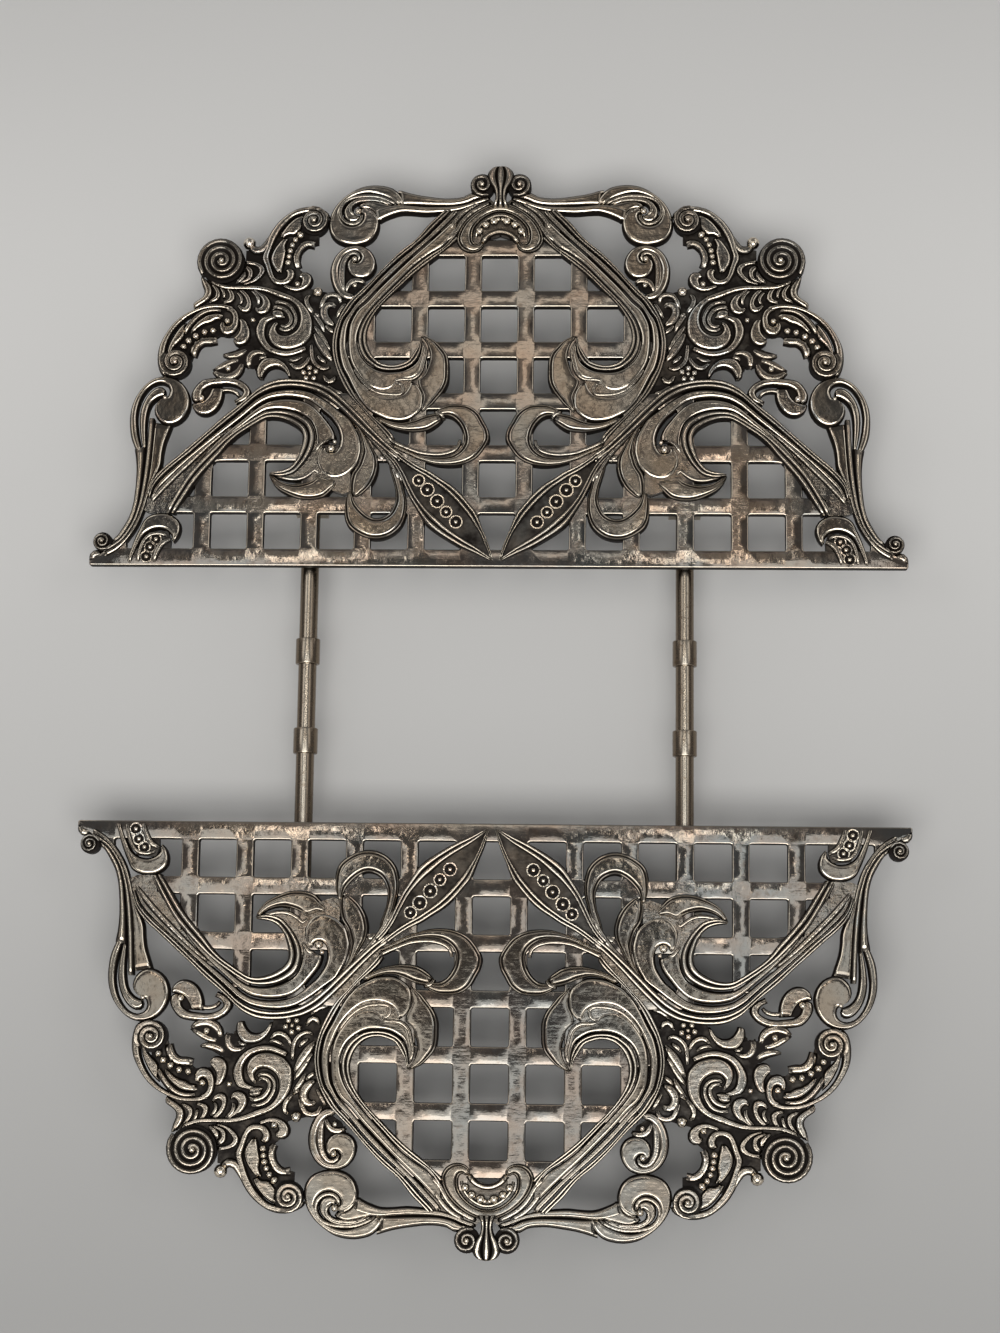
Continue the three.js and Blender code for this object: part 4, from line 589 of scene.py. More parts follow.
# Reeds and small leaves on a middle line: (height, [(x, y, half width), ...])
LINES = [
    (REED_TOP, [(20.5, 61.5, 0.4), (19.5, 58.5, 0.5), (20, 55.5, 0.5), (20.8, 52.8, 0.5), (22.9, 51.1, 0.5),
     (26, 50.9, 0.5), (28.2, 50.3, 0.4)]),
    (REED_TOP, [(28, 50.2, 0.4), (26, 49.6, 0.5), (25.3, 48, 0.5), (26.2, 46.8, 0.45), (29.8, 46.8, 0.45),
     (32.4, 47.4, 0.45), (34.7, 48.8, 0.45), (36.8, 51, 0.4), (38.6, 53.8, 0.35)]),
    (REED_TOP, [(17, 41.9, 0.4), (15.2, 41.4, 0.5), (14.3, 40.1, 0.4)]),
    (REED_TOP, [(10, 34.4, 0.35), (10.4, 32.6, 0.5), (11.8, 31.3, 0.5), (14.5, 30.5, 0.5), (17.1, 30.4, 0.5),
     (20.4, 30.8, 0.5), (23, 31.7, 0.5), (25.7, 32.8, 0.5), (28.6, 34.2, 0.5)]),
    (REED_TOP, [(38.4, 40.2, 0.7), (34, 35.4, 0.7), (30.2, 31, 0.7), (27.6, 27, 0.6), (25.8, 23.4, 0.5)]),
    (REED_TOP, [(36.6, 39.6, 0.6), (32.6, 35.4, 0.6), (29, 31.2, 0.6), (26.8, 27.4, 0.5), (25, 22.6, 0.4)]),
    (REED_TOP, [(40.6, 43.2, 0.6), (36.4, 38.8, 0.6), (32.8, 34.6, 0.6), (30.6, 31.4, 0.5)]),
    (LEAF_TOP, [(32.2, 29.6, 0.4), (30.8, 29.7, 0.7), (30, 28.6, 0.4)]),
    (REED_TOP, [(45.1, 34.1, 0.4), (46.6, 33.4, 0.5), (47.7, 32.1, 0.5), (48.5, 30.8, 0.4)]),
    (REED_TOP, [(47.2, 24.7, 0.4), (48.25, 26, 0.45), (49.9, 24.8, 0.5), (52, 23.7, 0.5), (54.7, 23.5, 0.5),
     (58.4, 24.3, 0.4)]),
    (REED_TOP, [(2.7, 100.3, 0.5), (5.4, 98.9, 0.6), (8, 97.3, 0.6), (10.2, 94.9, 0.6), (12.2, 91.6, 0.6),
     (14.8, 89.4, 0.5)]),
    (REED_TOP, [(6, 100, 0.5), (9.6, 97.8, 0.6), (12, 95.2, 0.6), (13.6, 92.6, 0.5)]),
    (REED_TOP, [(28.2, 99.8, 0.35), (31.4, 101.4, 0.5), (34.6, 102.1, 0.5), (38.7, 101.9, 0.5),
     (41.5, 100.9, 0.5), (43.1, 98.8, 0.5), (43.1, 96.4, 0.5), (41.6, 94.7, 0.5), (39.4, 94.2, 0.5),
     (37.7, 95.3, 0.5), (37.5, 97.3, 0.5)]),
    (REED_TOP, [(31.8, 100.5, 0.4), (34.1, 101, 0.5), (36.4, 101, 0.5), (38.7, 100.6, 0.5), (40.4, 99.3, 0.5),
     (40.5, 97.6, 0.5), (39.2, 96.7, 0.4)]),
    (REED_TOP, [(33.2, 95, 0.4), (34.1, 96.8, 0.5), (35.5, 98, 0.5), (37.2, 98.6, 0.5)]),
    (LEAF_TOP + 0.3, [(41.6, 75.2, 0.3), (42.3, 77.6, 0.7), (42.5, 80.4, 0.95), (42.2, 83.2, 0.95),
     (41, 85.4, 0.85), (39.6, 86.2, 0.75), (38.4, 85.8, 0.6), (37.9, 84.8, 0.5), (38.4, 84, 0.45)]),
    (LEAF_TOP, [(36.2, 77.8, 0.4), (38, 78.6, 0.8), (39.8, 78.1, 0.9), (40.9, 76.7, 0.75), (41.2, 75.2, 0.3)]),
    (SMALL_TOP + 0.2, [(61.6, 91.6, 0.4), (62.6, 89.3, 0.7), (63.8, 87.5, 0.9), (65.3, 86.9, 1),
     (66.4, 87.2, 1), (67.2, 88, 0.9)]),
    (LEAF_TOP, [(50, 88.8, 1), (51.8, 89, 0.9), (53.2, 88.3, 1), (54.3, 86.9, 0.9), (54.9, 85.3, 1.05),
     (54.8, 83.7, 0.9), (54.3, 82.2, 0.9)]),
    (SMALL_TOP, [(69.2, 81.4, 0.4), (68.9, 80.2, 0.8), (69.8, 78.8, 0.7), (71.2, 77.8, 0.4)]),
    (REED_TOP, [(74.8, 70, 0.4), (77.5, 70, 0.5), (79.8, 69.2, 0.55), (81.8, 67.5, 0.6), (83.4, 65.4, 0.6),
     (84.4, 63.8, 0.6)]),
    (LEAF_TOP, [(75.7, 62, 1), (77.5, 61.7, 1.1), (79.3, 61.6, 1.1), (80.8, 60.7, 1.15), (81.6, 59.3, 1.1),
     (82.1, 57.4, 1)]),
    (SMALL_TOP, [(67.4, 59.5, 0.5), (68.8, 58.4, 0.8), (70.6, 57.7, 0.95), (72.4, 57.5, 0.7),
     (73.9, 57.8, 0.3)]),
    (SMALL_TOP, [(68.6, 55.7, 0.5), (69.2, 53.7, 0.9), (70.6, 52.3, 1.1), (72.6, 51.7, 1.1), (74.6, 52.1, 0.95),
     (76.4, 53.2, 0.4)]),
    (SMALL_TOP, [(69.3, 56.3, 0.5), (70.8, 56.1, 0.7), (72.6, 55.4, 0.8), (74.4, 54.4, 0.7),
     (76.2, 53.5, 0.4)]),
    (SMALL_TOP, [(62.4, 57.9, 0.35), (63.8, 58.5, 0.6), (65.4, 58.4, 0.85), (66.6, 57.3, 0.95),
     (66.9, 55.8, 0.9), (66.5, 54.5, 0.8)]),
    (SMALL_TOP, [(61.8, 57, 0.4), (63.2, 57.1, 0.5), (64.4, 56.3, 0.35)]),
    (REED_TOP - 0.5, [(60.5, 72.4, 0.4), (58.4, 72.4, 0.5), (56.4, 71.5, 0.5), (54.9, 69.3, 0.5),
     (54.5, 67.6, 0.5), (54.9, 65.9, 0.5), (56.2, 64.8, 0.5), (57.9, 64.6, 0.5), (59.2, 65.3, 0.4)]),
    (SMALL_TOP, [(61, 70.6, 0.5), (59.7, 71.1, 0.6), (57.5, 70.4, 0.6), (56.2, 68.9, 0.6), (55.8, 67.2, 0.6),
     (56.6, 65.9, 0.6), (57.9, 65.6, 0.5), (58.8, 66.3, 0.4)]),
    (SMALL_TOP, [(67, 76, 0.5), (65.6, 74.8, 0.6), (64.8, 73.3, 0.6), (64.9, 71.9, 0.5)]),
    (SMALL_TOP, [(70.9, 75.4, 0.4), (69.6, 74.1, 0.5), (69.3, 72.6, 0.5), (70.2, 71.9, 0.4)]),
    (SMALL_TOP, [(75.3, 77, 0.4), (74.2, 75, 0.5), (74.2, 73.4, 0.4)]),
    (REED_TOP - 0.4, [(69.2, 46.4, 0.4), (70.2, 47.5, 0.5), (71.8, 48, 0.5), (73.4, 47.9, 0.5),
     (74.8, 47.4, 0.4)]),
    (SMALL_TOP, [(51, 74.7, 0.6), (51.9, 73.3, 0.7), (51.5, 71.5, 0.7), (50.1, 69.7, 0.6)]),
    (SMALL_TOP, [(42.6, 72.4, 0.5), (43.2, 74.1, 0.7), (44.9, 74.6, 0.7), (46.5, 74.1, 0.7), (47.3, 72.8, 0.7),
     (48.1, 70.8, 0.5)]),
    (SMALL_TOP, [(44, 71.3, 0.6), (45.2, 71.9, 0.9), (46.5, 71.4, 1.1), (47.1, 70, 1.2), (46.9, 68.5, 1.2),
     (45.8, 67.1, 0.9), (44, 65.9, 0.4)]),
    (SMALL_TOP, [(41.2, 72.4, 0.4), (42.5, 70.4, 0.6), (43.7, 68.2, 0.5)]),
    (SMALL_TOP, [(48, 68.3, 0.5), (49.8, 69.5, 0.5)]),
    (SMALL_TOP, [(46.9, 64.3, 0.4), (47.5, 65.9, 0.7), (48.8, 67.8, 0.7), (49.9, 69, 0.4)]),
    (SMALL_TOP, [(45.6, 60.3, 0.4), (47.4, 62.8, 0.7), (48.8, 64.8, 0.7), (49.8, 66, 0.4)]),
    (SMALL_TOP, [(44.5, 56.2, 0.5), (46.7, 59.1, 1.2), (48.4, 61.7, 1.1), (49.6, 64.1, 0.5)]),
    (SMALL_TOP, [(50.2, 61, 0.4), (50.1, 58.5, 0.6), (49.7, 56.3, 0.6), (48.6, 54.8, 0.6), (46.7, 53.9, 0.6),
     (45, 54.5, 0.4)]),
    (SMALL_TOP, [(46, 55.6, 0.4), (47.5, 56.5, 0.6), (48.7, 57.9, 0.4)]),
    (SMALL_TOP, [(43.3, 52, 0.4), (44.5, 50.5, 0.7), (45.8, 50.6, 0.7), (46.8, 52.3, 0.4)]),
    (SMALL_TOP, [(41.2, 47.3, 0.4), (43.2, 47.5, 0.7), (44.7, 48.4, 0.7), (45.7, 49.5, 0.4)]),
    (SMALL_TOP, [(50.5, 57.6, 0.4), (51.4, 55.6, 0.6), (52.7, 54.5, 0.7), (54.3, 54.3, 0.7), (56, 55.6, 0.4)]),
    (SMALL_TOP, [(52.6, 57.4, 0.4), (54.4, 56.3, 0.5), (56.4, 56.4, 0.4)]),
    (SMALL_TOP, [(43.9, 63.8, 0.5), (45.8, 65.1, 0.6), (46.6, 66.3, 0.4)]),
    (SMALL_TOP, [(44.9, 58.9, 0.4), (46, 60.6, 0.5), (47.2, 62.2, 0.4)]),
    (REED_TOP, [(72.6, 36.2, 0.3), (75.2, 34.1, 0.5), (78.6, 31.1, 0.65), (82.4, 27.4, 0.7), (86, 23.8, 0.7),
     (89, 20.5, 0.65), (91.7, 17.2, 0.5)]),
    (REED_TOP, [(86.3, 7.1, 0.5), (88.5, 5.7, 0.7), (89.8, 3.3, 0.7), (90.5, 0.9, 0.5)]),
    (REED_TOP, [(87.2, 8, 0.4), (89.4, 8.6, 0.5), (92, 7.9, 0.5), (93.7, 5.5, 0.5), (94.8, 1, 0.5)]),
    (LEAF_TOP, [(104.4, 3.4, 0.8), (106.4, 2.9, 0.9), (107, 1.4, 0.7)]),
]

# Plain balls: (x, y, radius, height)
BALLS = [
    (38.4, 97.7, 0.9, 4.1), (39, 84.2, 0.8, 4.2), (38.8, 76.9, 0.7, 3.9), (44.1, 31.8, 1.1, 4.1),
    (43.2, 33.6, 0.6, 4), (54.3, 77.3, 0.8, 4), (48.8, 75.2, 1.4, 4), (72.3, 53.9, 0.9, 3.7),
    (79.3, 45.7, 1, 3.7), (88.9, 45.6, 0.6, 4), (72.9, 67, 0.8, 4), (66, 67.2, 0.7, 4), (53.8, 91, 1, 4.2),
    (55.1, 89.6, 0.8, 4.2), (55.9, 88.1, 0.8, 4.2), (56.4, 86.5, 0.8, 4.2), (56.7, 84.9, 0.75, 4.2),
    (56.9, 83.2, 0.85, 4.2), (76.6, 64.2, 0.9, 4.2), (78.9, 63.8, 0.9, 4.2), (81.2, 62.7, 0.95, 4.2),
    (83.1, 61.4, 0.95, 4.2), (84.4, 59.7, 0.9, 4.2), (50.4, 53.9, 0.8, 4.1), (48.7, 52.9, 0.8, 4.1),
    (52, 52.6, 0.8, 4.1), (49.2, 51, 0.8, 4.1), (51.3, 51, 0.8, 4.1), (50.3, 52.3, 0.5, 4.2),
    (67.7, 89, 1.75, 3.8), (0.6, 95.4, 0.6, 3.9), (1.7, 94.9, 1.2, 4.2), (3.9, 93.9, 1.15, 4.2),
    (5.6, 92.1, 1.1, 4.2),
]

# Beads in a ring, in the pod: (x, y, ring radius)
RINGED_BEADS = [(10.7, 12.0, 1.5), (13.3, 14.7, 1.35), (15.7, 17.6, 1.6), (18.35, 20.7, 1.6), (20.7, 23.2, 1.4),
                (90.0, 7.0, 1.3), (91.5, 4.9, 1.3), (92.4, 2.3, 1.35)]

# Volutes: (section, x, y, radius, turns, direction, angle of the outer end in degrees)
VOLUTES = [
    (COILED, 5.0, 105.1, 3.6, 1.7, 1, 240),
    (ROLLED, 50.2, 95.0, 4.2, 2.3, 1, 60),
    (COILED, 74.9, 83.7, 6.8, 3.1, 1, 325),
    (ROLLED, 86.5, 55.4, 4.6, 2.3, -1, 40),
    (COILED, 104.2, 6.3, 2.8, 2.0, 1, 200),
]

# Sunk ground between the leaves: (height, patina_and_painted_light, outline). A high value darkens it with
# tarnish and painted shade.
GROUNDS = [
    (1.9, 0.8, [(40, 46.5), (46, 49.4), (55, 50.2), (55.9, 52.4), (57.2, 54.4), (59.6, 55.2), (61.8, 54.4),
     (64, 53), (65.4, 54), (66, 59.4), (68.2, 60.4), (70.4, 60.8), (71, 63), (75, 63.4), (76.4, 62.4),
     (79.4, 61.8), (81.4, 59.8), (82.4, 56.4), (86.6, 58), (86, 64), (79.4, 72.4), (79.6, 78.6), (70, 80),
     (69.4, 83), (68.6, 83.4), (68.6, 87), (63.4, 88.2), (59.4, 92.4), (53, 96), (49, 92), (49, 89), (53.4, 88),
     (54.2, 82), (52.6, 80.6), (51, 76.4), (46.8, 75.4), (43, 74.2), (38.6, 74.4), (40.4, 70), (43.6, 62),
     (43, 54)]),
    (2.3, 0.9, [(76, 48.6), (79.5, 48.6), (81.5, 46), (80.5, 43.5), (77, 44)]),
    (2.5, 0.9, [(64, 55.2), (64.5, 58), (66, 60.3), (68.6, 60.2), (70.6, 59), (73.9, 58), (72.6, 56.9),
     (71.4, 56.4), (74.6, 54.9), (76.6, 53.6), (75.4, 52), (73, 51.2), (70.5, 51.5), (68.9, 52.9), (68, 54.8),
     (66, 54.4)]),
    (2.68, 0.7, [(0.9, 1.9), (6, 13.2), (12, 20), (21.6, 26.4), (26.4, 28.6), (23.4, 21), (17.6, 12.4),
     (9.4, 6.8)]),
    (2.5, 0.5, [(0, 99.4), (3, 101.4), (8, 99), (14, 97.6), (16, 92.6), (14.6, 89.4), (11, 88), (6, 87.6),
     (4.6, 89.8), (0, 91.4)]),
    (2.2, 0.85, [(36, 86), (40, 87.2), (43.6, 84), (44.2, 78), (41, 74), (37.4, 76.4), (35.4, 80.6)]),
    (2.4, 0.7, [(86.2, 7), (87, 9.4), (92, 9), (96.2, 0.6), (86.4, 0.6)]),
    (3.1, 0, [(20.6, 57), (22, 52), (28, 50.4), (30, 49.4), (36.5, 53.5), (36, 47), (28, 44.6), (24, 48)]),
    (3, 0.1, [(46.4, 33), (48.6, 34.4), (50.2, 30), (54, 25.8), (60, 24.8), (53, 23.3), (48.2, 25.2),
     (47.6, 29)]),
    (2.6, 0.06, [(70, 37.8), (76, 32), (80.4, 26.6), (84, 20.6), (87, 14.2), (91.6, 14.2), (93.6, 15),
     (92.6, 20), (88, 25.4), (82, 30.8), (76, 36)]),
    (2.9, 0.1, [(38.6, 20.4), (40.6, 19.4), (43.4, 20.4), (48.6, 22.6), (49.6, 28), (46, 27), (39, 25.6)]),
    (2.8, 0.2, [(26, 30), (31.6, 33.4), (38, 40), (41, 45.4), (37, 44.4), (31, 38), (27.6, 34.6)]),
]

# How far the lattice reaches under the leaves
LATTICE_EDGE = [
    (-1, -1), (89, -1), (88, 14.6), (80, 27), (71, 37), (60, 44), (47, 45.5), (41, 49), (40.6, 62),
    (38, 71), (30, 79.5), (21, 88), (13, 94), (-1, 95),
]

# Edge of the fluted knob on the middle line
KNOB_EDGE = [(2.2, 98.9), (1.4, 101), (1.7, 103.4), (3.1, 105.6), (3.6, 107.6), (2.4, 109.4), (0, 110)]


class Outline:
    """A smooth line through a few points, walked by its length."""

    SAMPLES = 10

    def __init__(self, points):
        self.points = []
        last = len(points) - 1
        for index in range(last):
            before = Vector(points[max(index - 1, 0)])
            start = Vector(points[index])
            end = Vector(points[index + 1])
            after = Vector(points[min(index + 2, last)])
            for step in range(self.SAMPLES):
                self.points.append(self.curve(before, start, end, after, step / self.SAMPLES))
        self.points.append(Vector(points[last]))
        self.reach = [0.0]
        for one, two in zip(self.points, self.points[1:]):
            self.reach.append(self.reach[-1] + (two - one).length)
        self.length = self.reach[-1]

    @staticmethod
    def curve(before, start, end, after, share):
        square = share * share
        cube = square * share
        return 0.5 * (2 * start + (end - before) * share + (2 * before - 5 * start + 4 * end - after) * square
                      + (3 * start - before - 3 * end + after) * cube)

    def at(self, share):
        target = share * self.length
        low = 0
        high = len(self.reach) - 1
        while high - low > 1:
            middle = (low + high) // 2
            if self.reach[middle] <= target:
                low = middle
            else:
                high = middle
        span = max(self.reach[high] - self.reach[low], 1e-9)
        return self.points[low].lerp(self.points[high], min(1.0, (target - self.reach[low]) / span))


class Offset:
    """An edge of a leaf that is given by its middle line and half widths."""

    def __init__(self, line, side):
        self.middle = Outline([(x, y) for x, y, half in line])
        self.halves = [half for x, y, half in line]
        self.side = side
        self.length = self.middle.length

    def at(self, share):
        step = 0.02
        ahead = self.middle.at(min(1.0, share + step))
        behind = self.middle.at(max(0.0, share - step))
        direction = (ahead - behind).normalized()
        place = share * (len(self.halves) - 1)
        index = min(int(place), len(self.halves) - 2)
        half = self.halves[index] + (self.halves[index + 1] - self.halves[index]) * (place - index)
        return self.middle.at(share) + Vector((-direction.y, direction.x)) * half * self.side


class Spiral:
    """One edge of a volute's ribbon."""

    def __init__(self, x, y, radius, turns, direction, start, inset):
        self.centre = Vector((x, y))
        self.radius = radius
        self.turns = turns
        self.direction = direction
        self.start = math.radians(start)
        self.pitch = radius / (turns + 0.75)
        self.inset = inset * self.pitch
        self.length = math.pi * radius * turns

    def at(self, share):
        angle = self.start + self.direction * 2 * math.pi * self.turns * share
        reach = self.radius - self.inset - self.pitch * self.turns * share
        return self.centre + reach * Vector((math.cos(angle), math.sin(angle)))


def column_place(column, width, border_width, has_borders):
    """Distance of a section's column from edge a, and how much the section is squeezed."""
    edge, distance = column[0], column[1]
    squeeze = min(1.0, width / (BORDER_SHARE * border_width))
    if edge == "a":
        return distance * squeeze, squeeze
    if edge == "b":
        return width - distance * squeeze, squeeze
    border = border_width * squeeze if has_borders else 0.0
    return border + distance * (width - 2 * border), squeeze


def matched_shares(edge_a, edge_b, rows):
    """Shares along both edges for each row of a leaf, so that every row runs the short way across."""
    if not (isinstance(edge_a, Outline) and isinstance(edge_b, Outline)):
        return [(row / rows, row / rows) for row in range(rows + 1)]
    side_a = [edge_a.at(row / rows) for row in range(rows + 1)]
    side_b = [edge_b.at(row / rows) for row in range(rows + 1)]
    reach = {(-1, -1): 0.0}
    for i, a in enumerate(side_a):
        for j, b in enumerate(side_b):
            before = min(reach.get(cell, FAR) for cell in ((i - 1, j - 1), (i - 1, j), (i, j - 1)))
            reach[i, j] = before + (a - b).length
    path = [(rows, rows)]
    while path[-1] != (0, 0):
        i, j = path[-1]
        path.append(min(((i - 1, j - 1), (i - 1, j), (i, j - 1)), key=lambda cell: reach.get(cell, FAR)))
    path.reverse()
    return evened(path, rows)


def evened(path, rows):
    """Spreads the steps of a path evenly over the rows."""
    steps = [Vector(cell) / rows for cell in path]
    for turn in range(6):
        between = [(one + 2 * two + three) / 4 for one, two, three in zip(steps, steps[1:], steps[2:])]
        steps = [steps[0]] + between + [steps[-1]]
    shares = []
    for row in range(rows + 1):
        place = row / rows * (len(steps) - 1)
        index = min(int(place), len(steps) - 2)
        shares.append(tuple(steps[index].lerp(steps[index + 1], place - index)))
    return shares


def lay_leaf(bm, edge_a, edge_b, section, top, base=0.0):
    """Bends a grid between two edges with a cross-section, and closes it down to the underside."""
    patina_and_painted_light = bm.verts.layers.float[PATINA_AND_PAINTED_LIGHT]
    length = max(edge_a.length, edge_b.length)
    rows = max(FEWEST_ROWS, min(MOST_ROWS, round(length / ROW_STEP)))
    last = len(section) - 1
    verts = bmesh.ops.create_grid(bm, x_segments=rows, y_segments=last, size=0.5)["verts"]
    has_borders = section[0][0] == "a"
    border_width = max(column[1] for column in section if column[0] == "a") if has_borders else BORDER_WIDTH
    shares = matched_shares(edge_a, edge_b, rows)
    for vert in verts:
        share = vert.co.x + 0.5
        column = section[round((vert.co.y + 0.5) * last)]
        share_a, share_b = shares[round(share * rows)]
        a = edge_a.at(share_a)
        b = edge_b.at(share_b)
        width = max((b - a).length, 0.05)
        place, squeeze = column_place(column, width, border_width, has_borders)
        end = min(share, 1 - share) * length
        droop = TIP_DROOP * max(0.0, 1 - end / TIP_LENGTH) ** 2
        spot = a.lerp(b, place / width)
        vert.co = (spot.x, spot.y, top + column[2] * max(squeeze, LEAST_SQUEEZE) - droop)
        vert[patina_and_painted_light] = column[3]
    close_down(bm, verts, base)


def close_down(bm, verts, base):
    """Gives a sheet walls down to a flat underside."""
    patina_and_painted_light = bm.verts.layers.float[PATINA_AND_PAINTED_LIGHT]
    faces = {face for vert in verts for face in vert.link_faces}
    rim = [edge for edge in {edge for face in faces for edge in face.edges} if len(edge.link_faces) == 1]
    walls = bmesh.ops.extrude_edge_only(bm, edges=rim)["geom"]
    # The walls and their foot are darkened with tarnish and painted shade
    for vert in (item for item in walls if isinstance(item, bmesh.types.BMVert)):
        vert.co.z = base
        vert[patina_and_painted_light] = 1.0
    floor = [item for item in walls if isinstance(item, bmesh.types.BMEdge) and len(item.link_faces) == 1]
    bmesh.ops.holes_fill(bm, edges=floor, sides=0)


def spin_round(bm, verts, axis, steps, closed=False):
    """Joins the points of a profile and spins it all the way round."""
    edges = [bm.edges.new(pair) for pair in zip(verts, verts[1:])]
    if closed:
        edges.append(bm.edges.new((verts[-1], verts[0])))
    bmesh.ops.spin(bm, geom=verts + edges, cent=(0, 0, 0), axis=axis, angle=2 * math.pi, steps=steps,
                   use_merge=True, use_duplicate=False)


def turn_profile(bm, profile, x, y, scale, steps, dark):
    """Spins a profile of (radius, height) about an upright axis, with a patina_and_painted_light value set by
    the radius.
    """
    patina_and_painted_light = bm.verts.layers.float[PATINA_AND_PAINTED_LIGHT]
    before = set(bm.verts)
    spin_round(bm, [bm.verts.new((radius, 0, height)) for radius, height in profile], (0, 0, 1), steps)
    bmesh.ops.remove_doubles(bm, verts=[vert for vert in bm.verts if vert not in before], dist=1e-4)
    made = [vert for vert in bm.verts if vert not in before]
    for vert in made:
        vert[patina_and_painted_light] = dark(math.hypot(vert.co.x, vert.co.y))
    bmesh.ops.scale(bm, vec=(scale, scale, 1), verts=made)
    bmesh.ops.translate(bm, vec=(x, y, 0), verts=made)


def across_middle(edge):
    """An edge that starts on the middle line, with its mirror image in front."""
    return [(-x, y) for x, y in reversed(edge[1:])] + edge


def lay_knob(bm):
    """The fluted knob on top, between its two volutes."""
    left = Outline([(-x, y) for x, y in KNOB_EDGE])
    lay_leaf(bm, left, Outline(KNOB_EDGE), THREE_REEDS, KNOB_TOP, base=KNOB_BASE)


def lay_ball(bm, x, y, radius, top):
    """A ball that is rubbed bright on top with a painted highlight, and darkened at its foot with tarnish and
    painted shade.
    """
    patina_and_painted_light = bm.verts.layers.float[PATINA_AND_PAINTED_LIGHT]
    ball = bmesh.ops.create_icosphere(bm, subdivisions=2, radius=radius)["verts"]
    for vert in ball:
        height = vert.co.z / radius
        vert[patina_and_painted_light] = min(1.0, max(BALL_BRIGHTEST, 1.0 - BALL_FADE * (height + 0.1)))
    bmesh.ops.translate(bm, vec=(x, y, top - radius), verts=ball)


def lay_bead_ring(bm, x, y, radius):
    """A bead and a flat lip round it, rubbed bright with a painted highlight, with the groove between them and
    the foot outside the lip darkened with tarnish and painted shade.
    """
    lip = radius + BEAD_LIP
    profile = [
        (0, 3.5), (0.35, 3.45), (0.55, 3.25), (0.66, 2.75), (radius - 0.06, 2.75), (radius, 3.1), (lip, 3.1),
        (lip + 0.08, 2.6), (lip + 0.08, 1.5), (0, 1.5),
    ]

    def dark(reach):
        return 1.0 if 0.6 < reach < radius - 0.03 or reach > lip + 0.04 else -0.8

    turn_profile(bm, profile, x, y, 1, 20, dark)


def lay_volute(bm, section, x, y, radius, turns, direction, start):
    """A rolled ribbon over a round core darkened all over with tarnish and painted shade, with a ball in its
    eye.
    """
    outer = Spiral(x, y, radius, turns, direction, start, 0.0)
    inner = Spiral(x, y, radius, turns, direction, start, 0.97)
    lay_leaf(bm, outer, inner, section, VOLUTE_TOP)
    turn_profile(bm, VOLUTE_CORE, x, y, radius, 24, lambda reach: 1.0)
    lay_ball(bm, x, y, outer.pitch * 0.5, VOLUTE_TOP + 0.6)


def lay_ground(bm, top, tone, outline):
    """A flat sheet with upright sides."""
    patina_and_painted_light = bm.verts.layers.float[PATINA_AND_PAINTED_LIGHT]
    verts = [bm.verts.new((x, y, top)) for x, y in outline]
    face = bm.faces.new(verts)
    for vert in verts:
        vert[patina_and_painted_light] = tone
    block = bmesh.ops.extrude_face_region(bm, geom=[face])["geom"]
    lowered = [item for item in block if isinstance(item, bmesh.types.BMVert)]
    # The sides are darkened with tarnish and painted shade
    for vert in lowered:
        vert.co.z = GROUND_BASE
        vert[patina_and_painted_light] = 0.85


def inside(outline, x, y):
    """Whether a point lies within an outline."""
    hit = False
    for (x1, y1), (x2, y2) in zip(outline, outline[1:] + outline[:1]):
        if (y1 > y) != (y2 > y) and x < (x2 - x1) * (y - y1) / (y2 - y1) + x1:
            hit = not hit
    return hit


def lattice_lines(count, first):
    """Grid lines at both sides of each hole, with extra lines across it."""
    lines = []
    for index in range(count):
        start = first + index * LATTICE_PITCH
        lines += [start + HOLE_SIDE * split / FACES_ACROSS for split in range(FACES_ACROSS + 1)]
    return lines


def over_a_hole(x, y):
    """Whether a point lies over a square hole of the lattice."""
    across = abs((x + LATTICE_PITCH / 2) % LATTICE_PITCH - LATTICE_PITCH / 2) < HOLE_SIDE / 2
    return across and y > EDGE_BAR_WIDTH and (y - EDGE_BAR_WIDTH) % LATTICE_PITCH < HOLE_SIDE


def rebuild(bm):
    """Makes a mesh again with its elements in a fixed order, so that it is bevelled alike on each run."""
    bm.verts.index_update()
    spots = [vert.co.copy() for vert in bm.verts]
    faces = [[vert.index for vert in face.verts] for face in bm.faces]
    bm.clear()
    verts = [bm.verts.new(spot) for spot in spots]
    for corners in sorted(faces, key=sorted):
        bm.faces.new([verts[index] for index in corners])


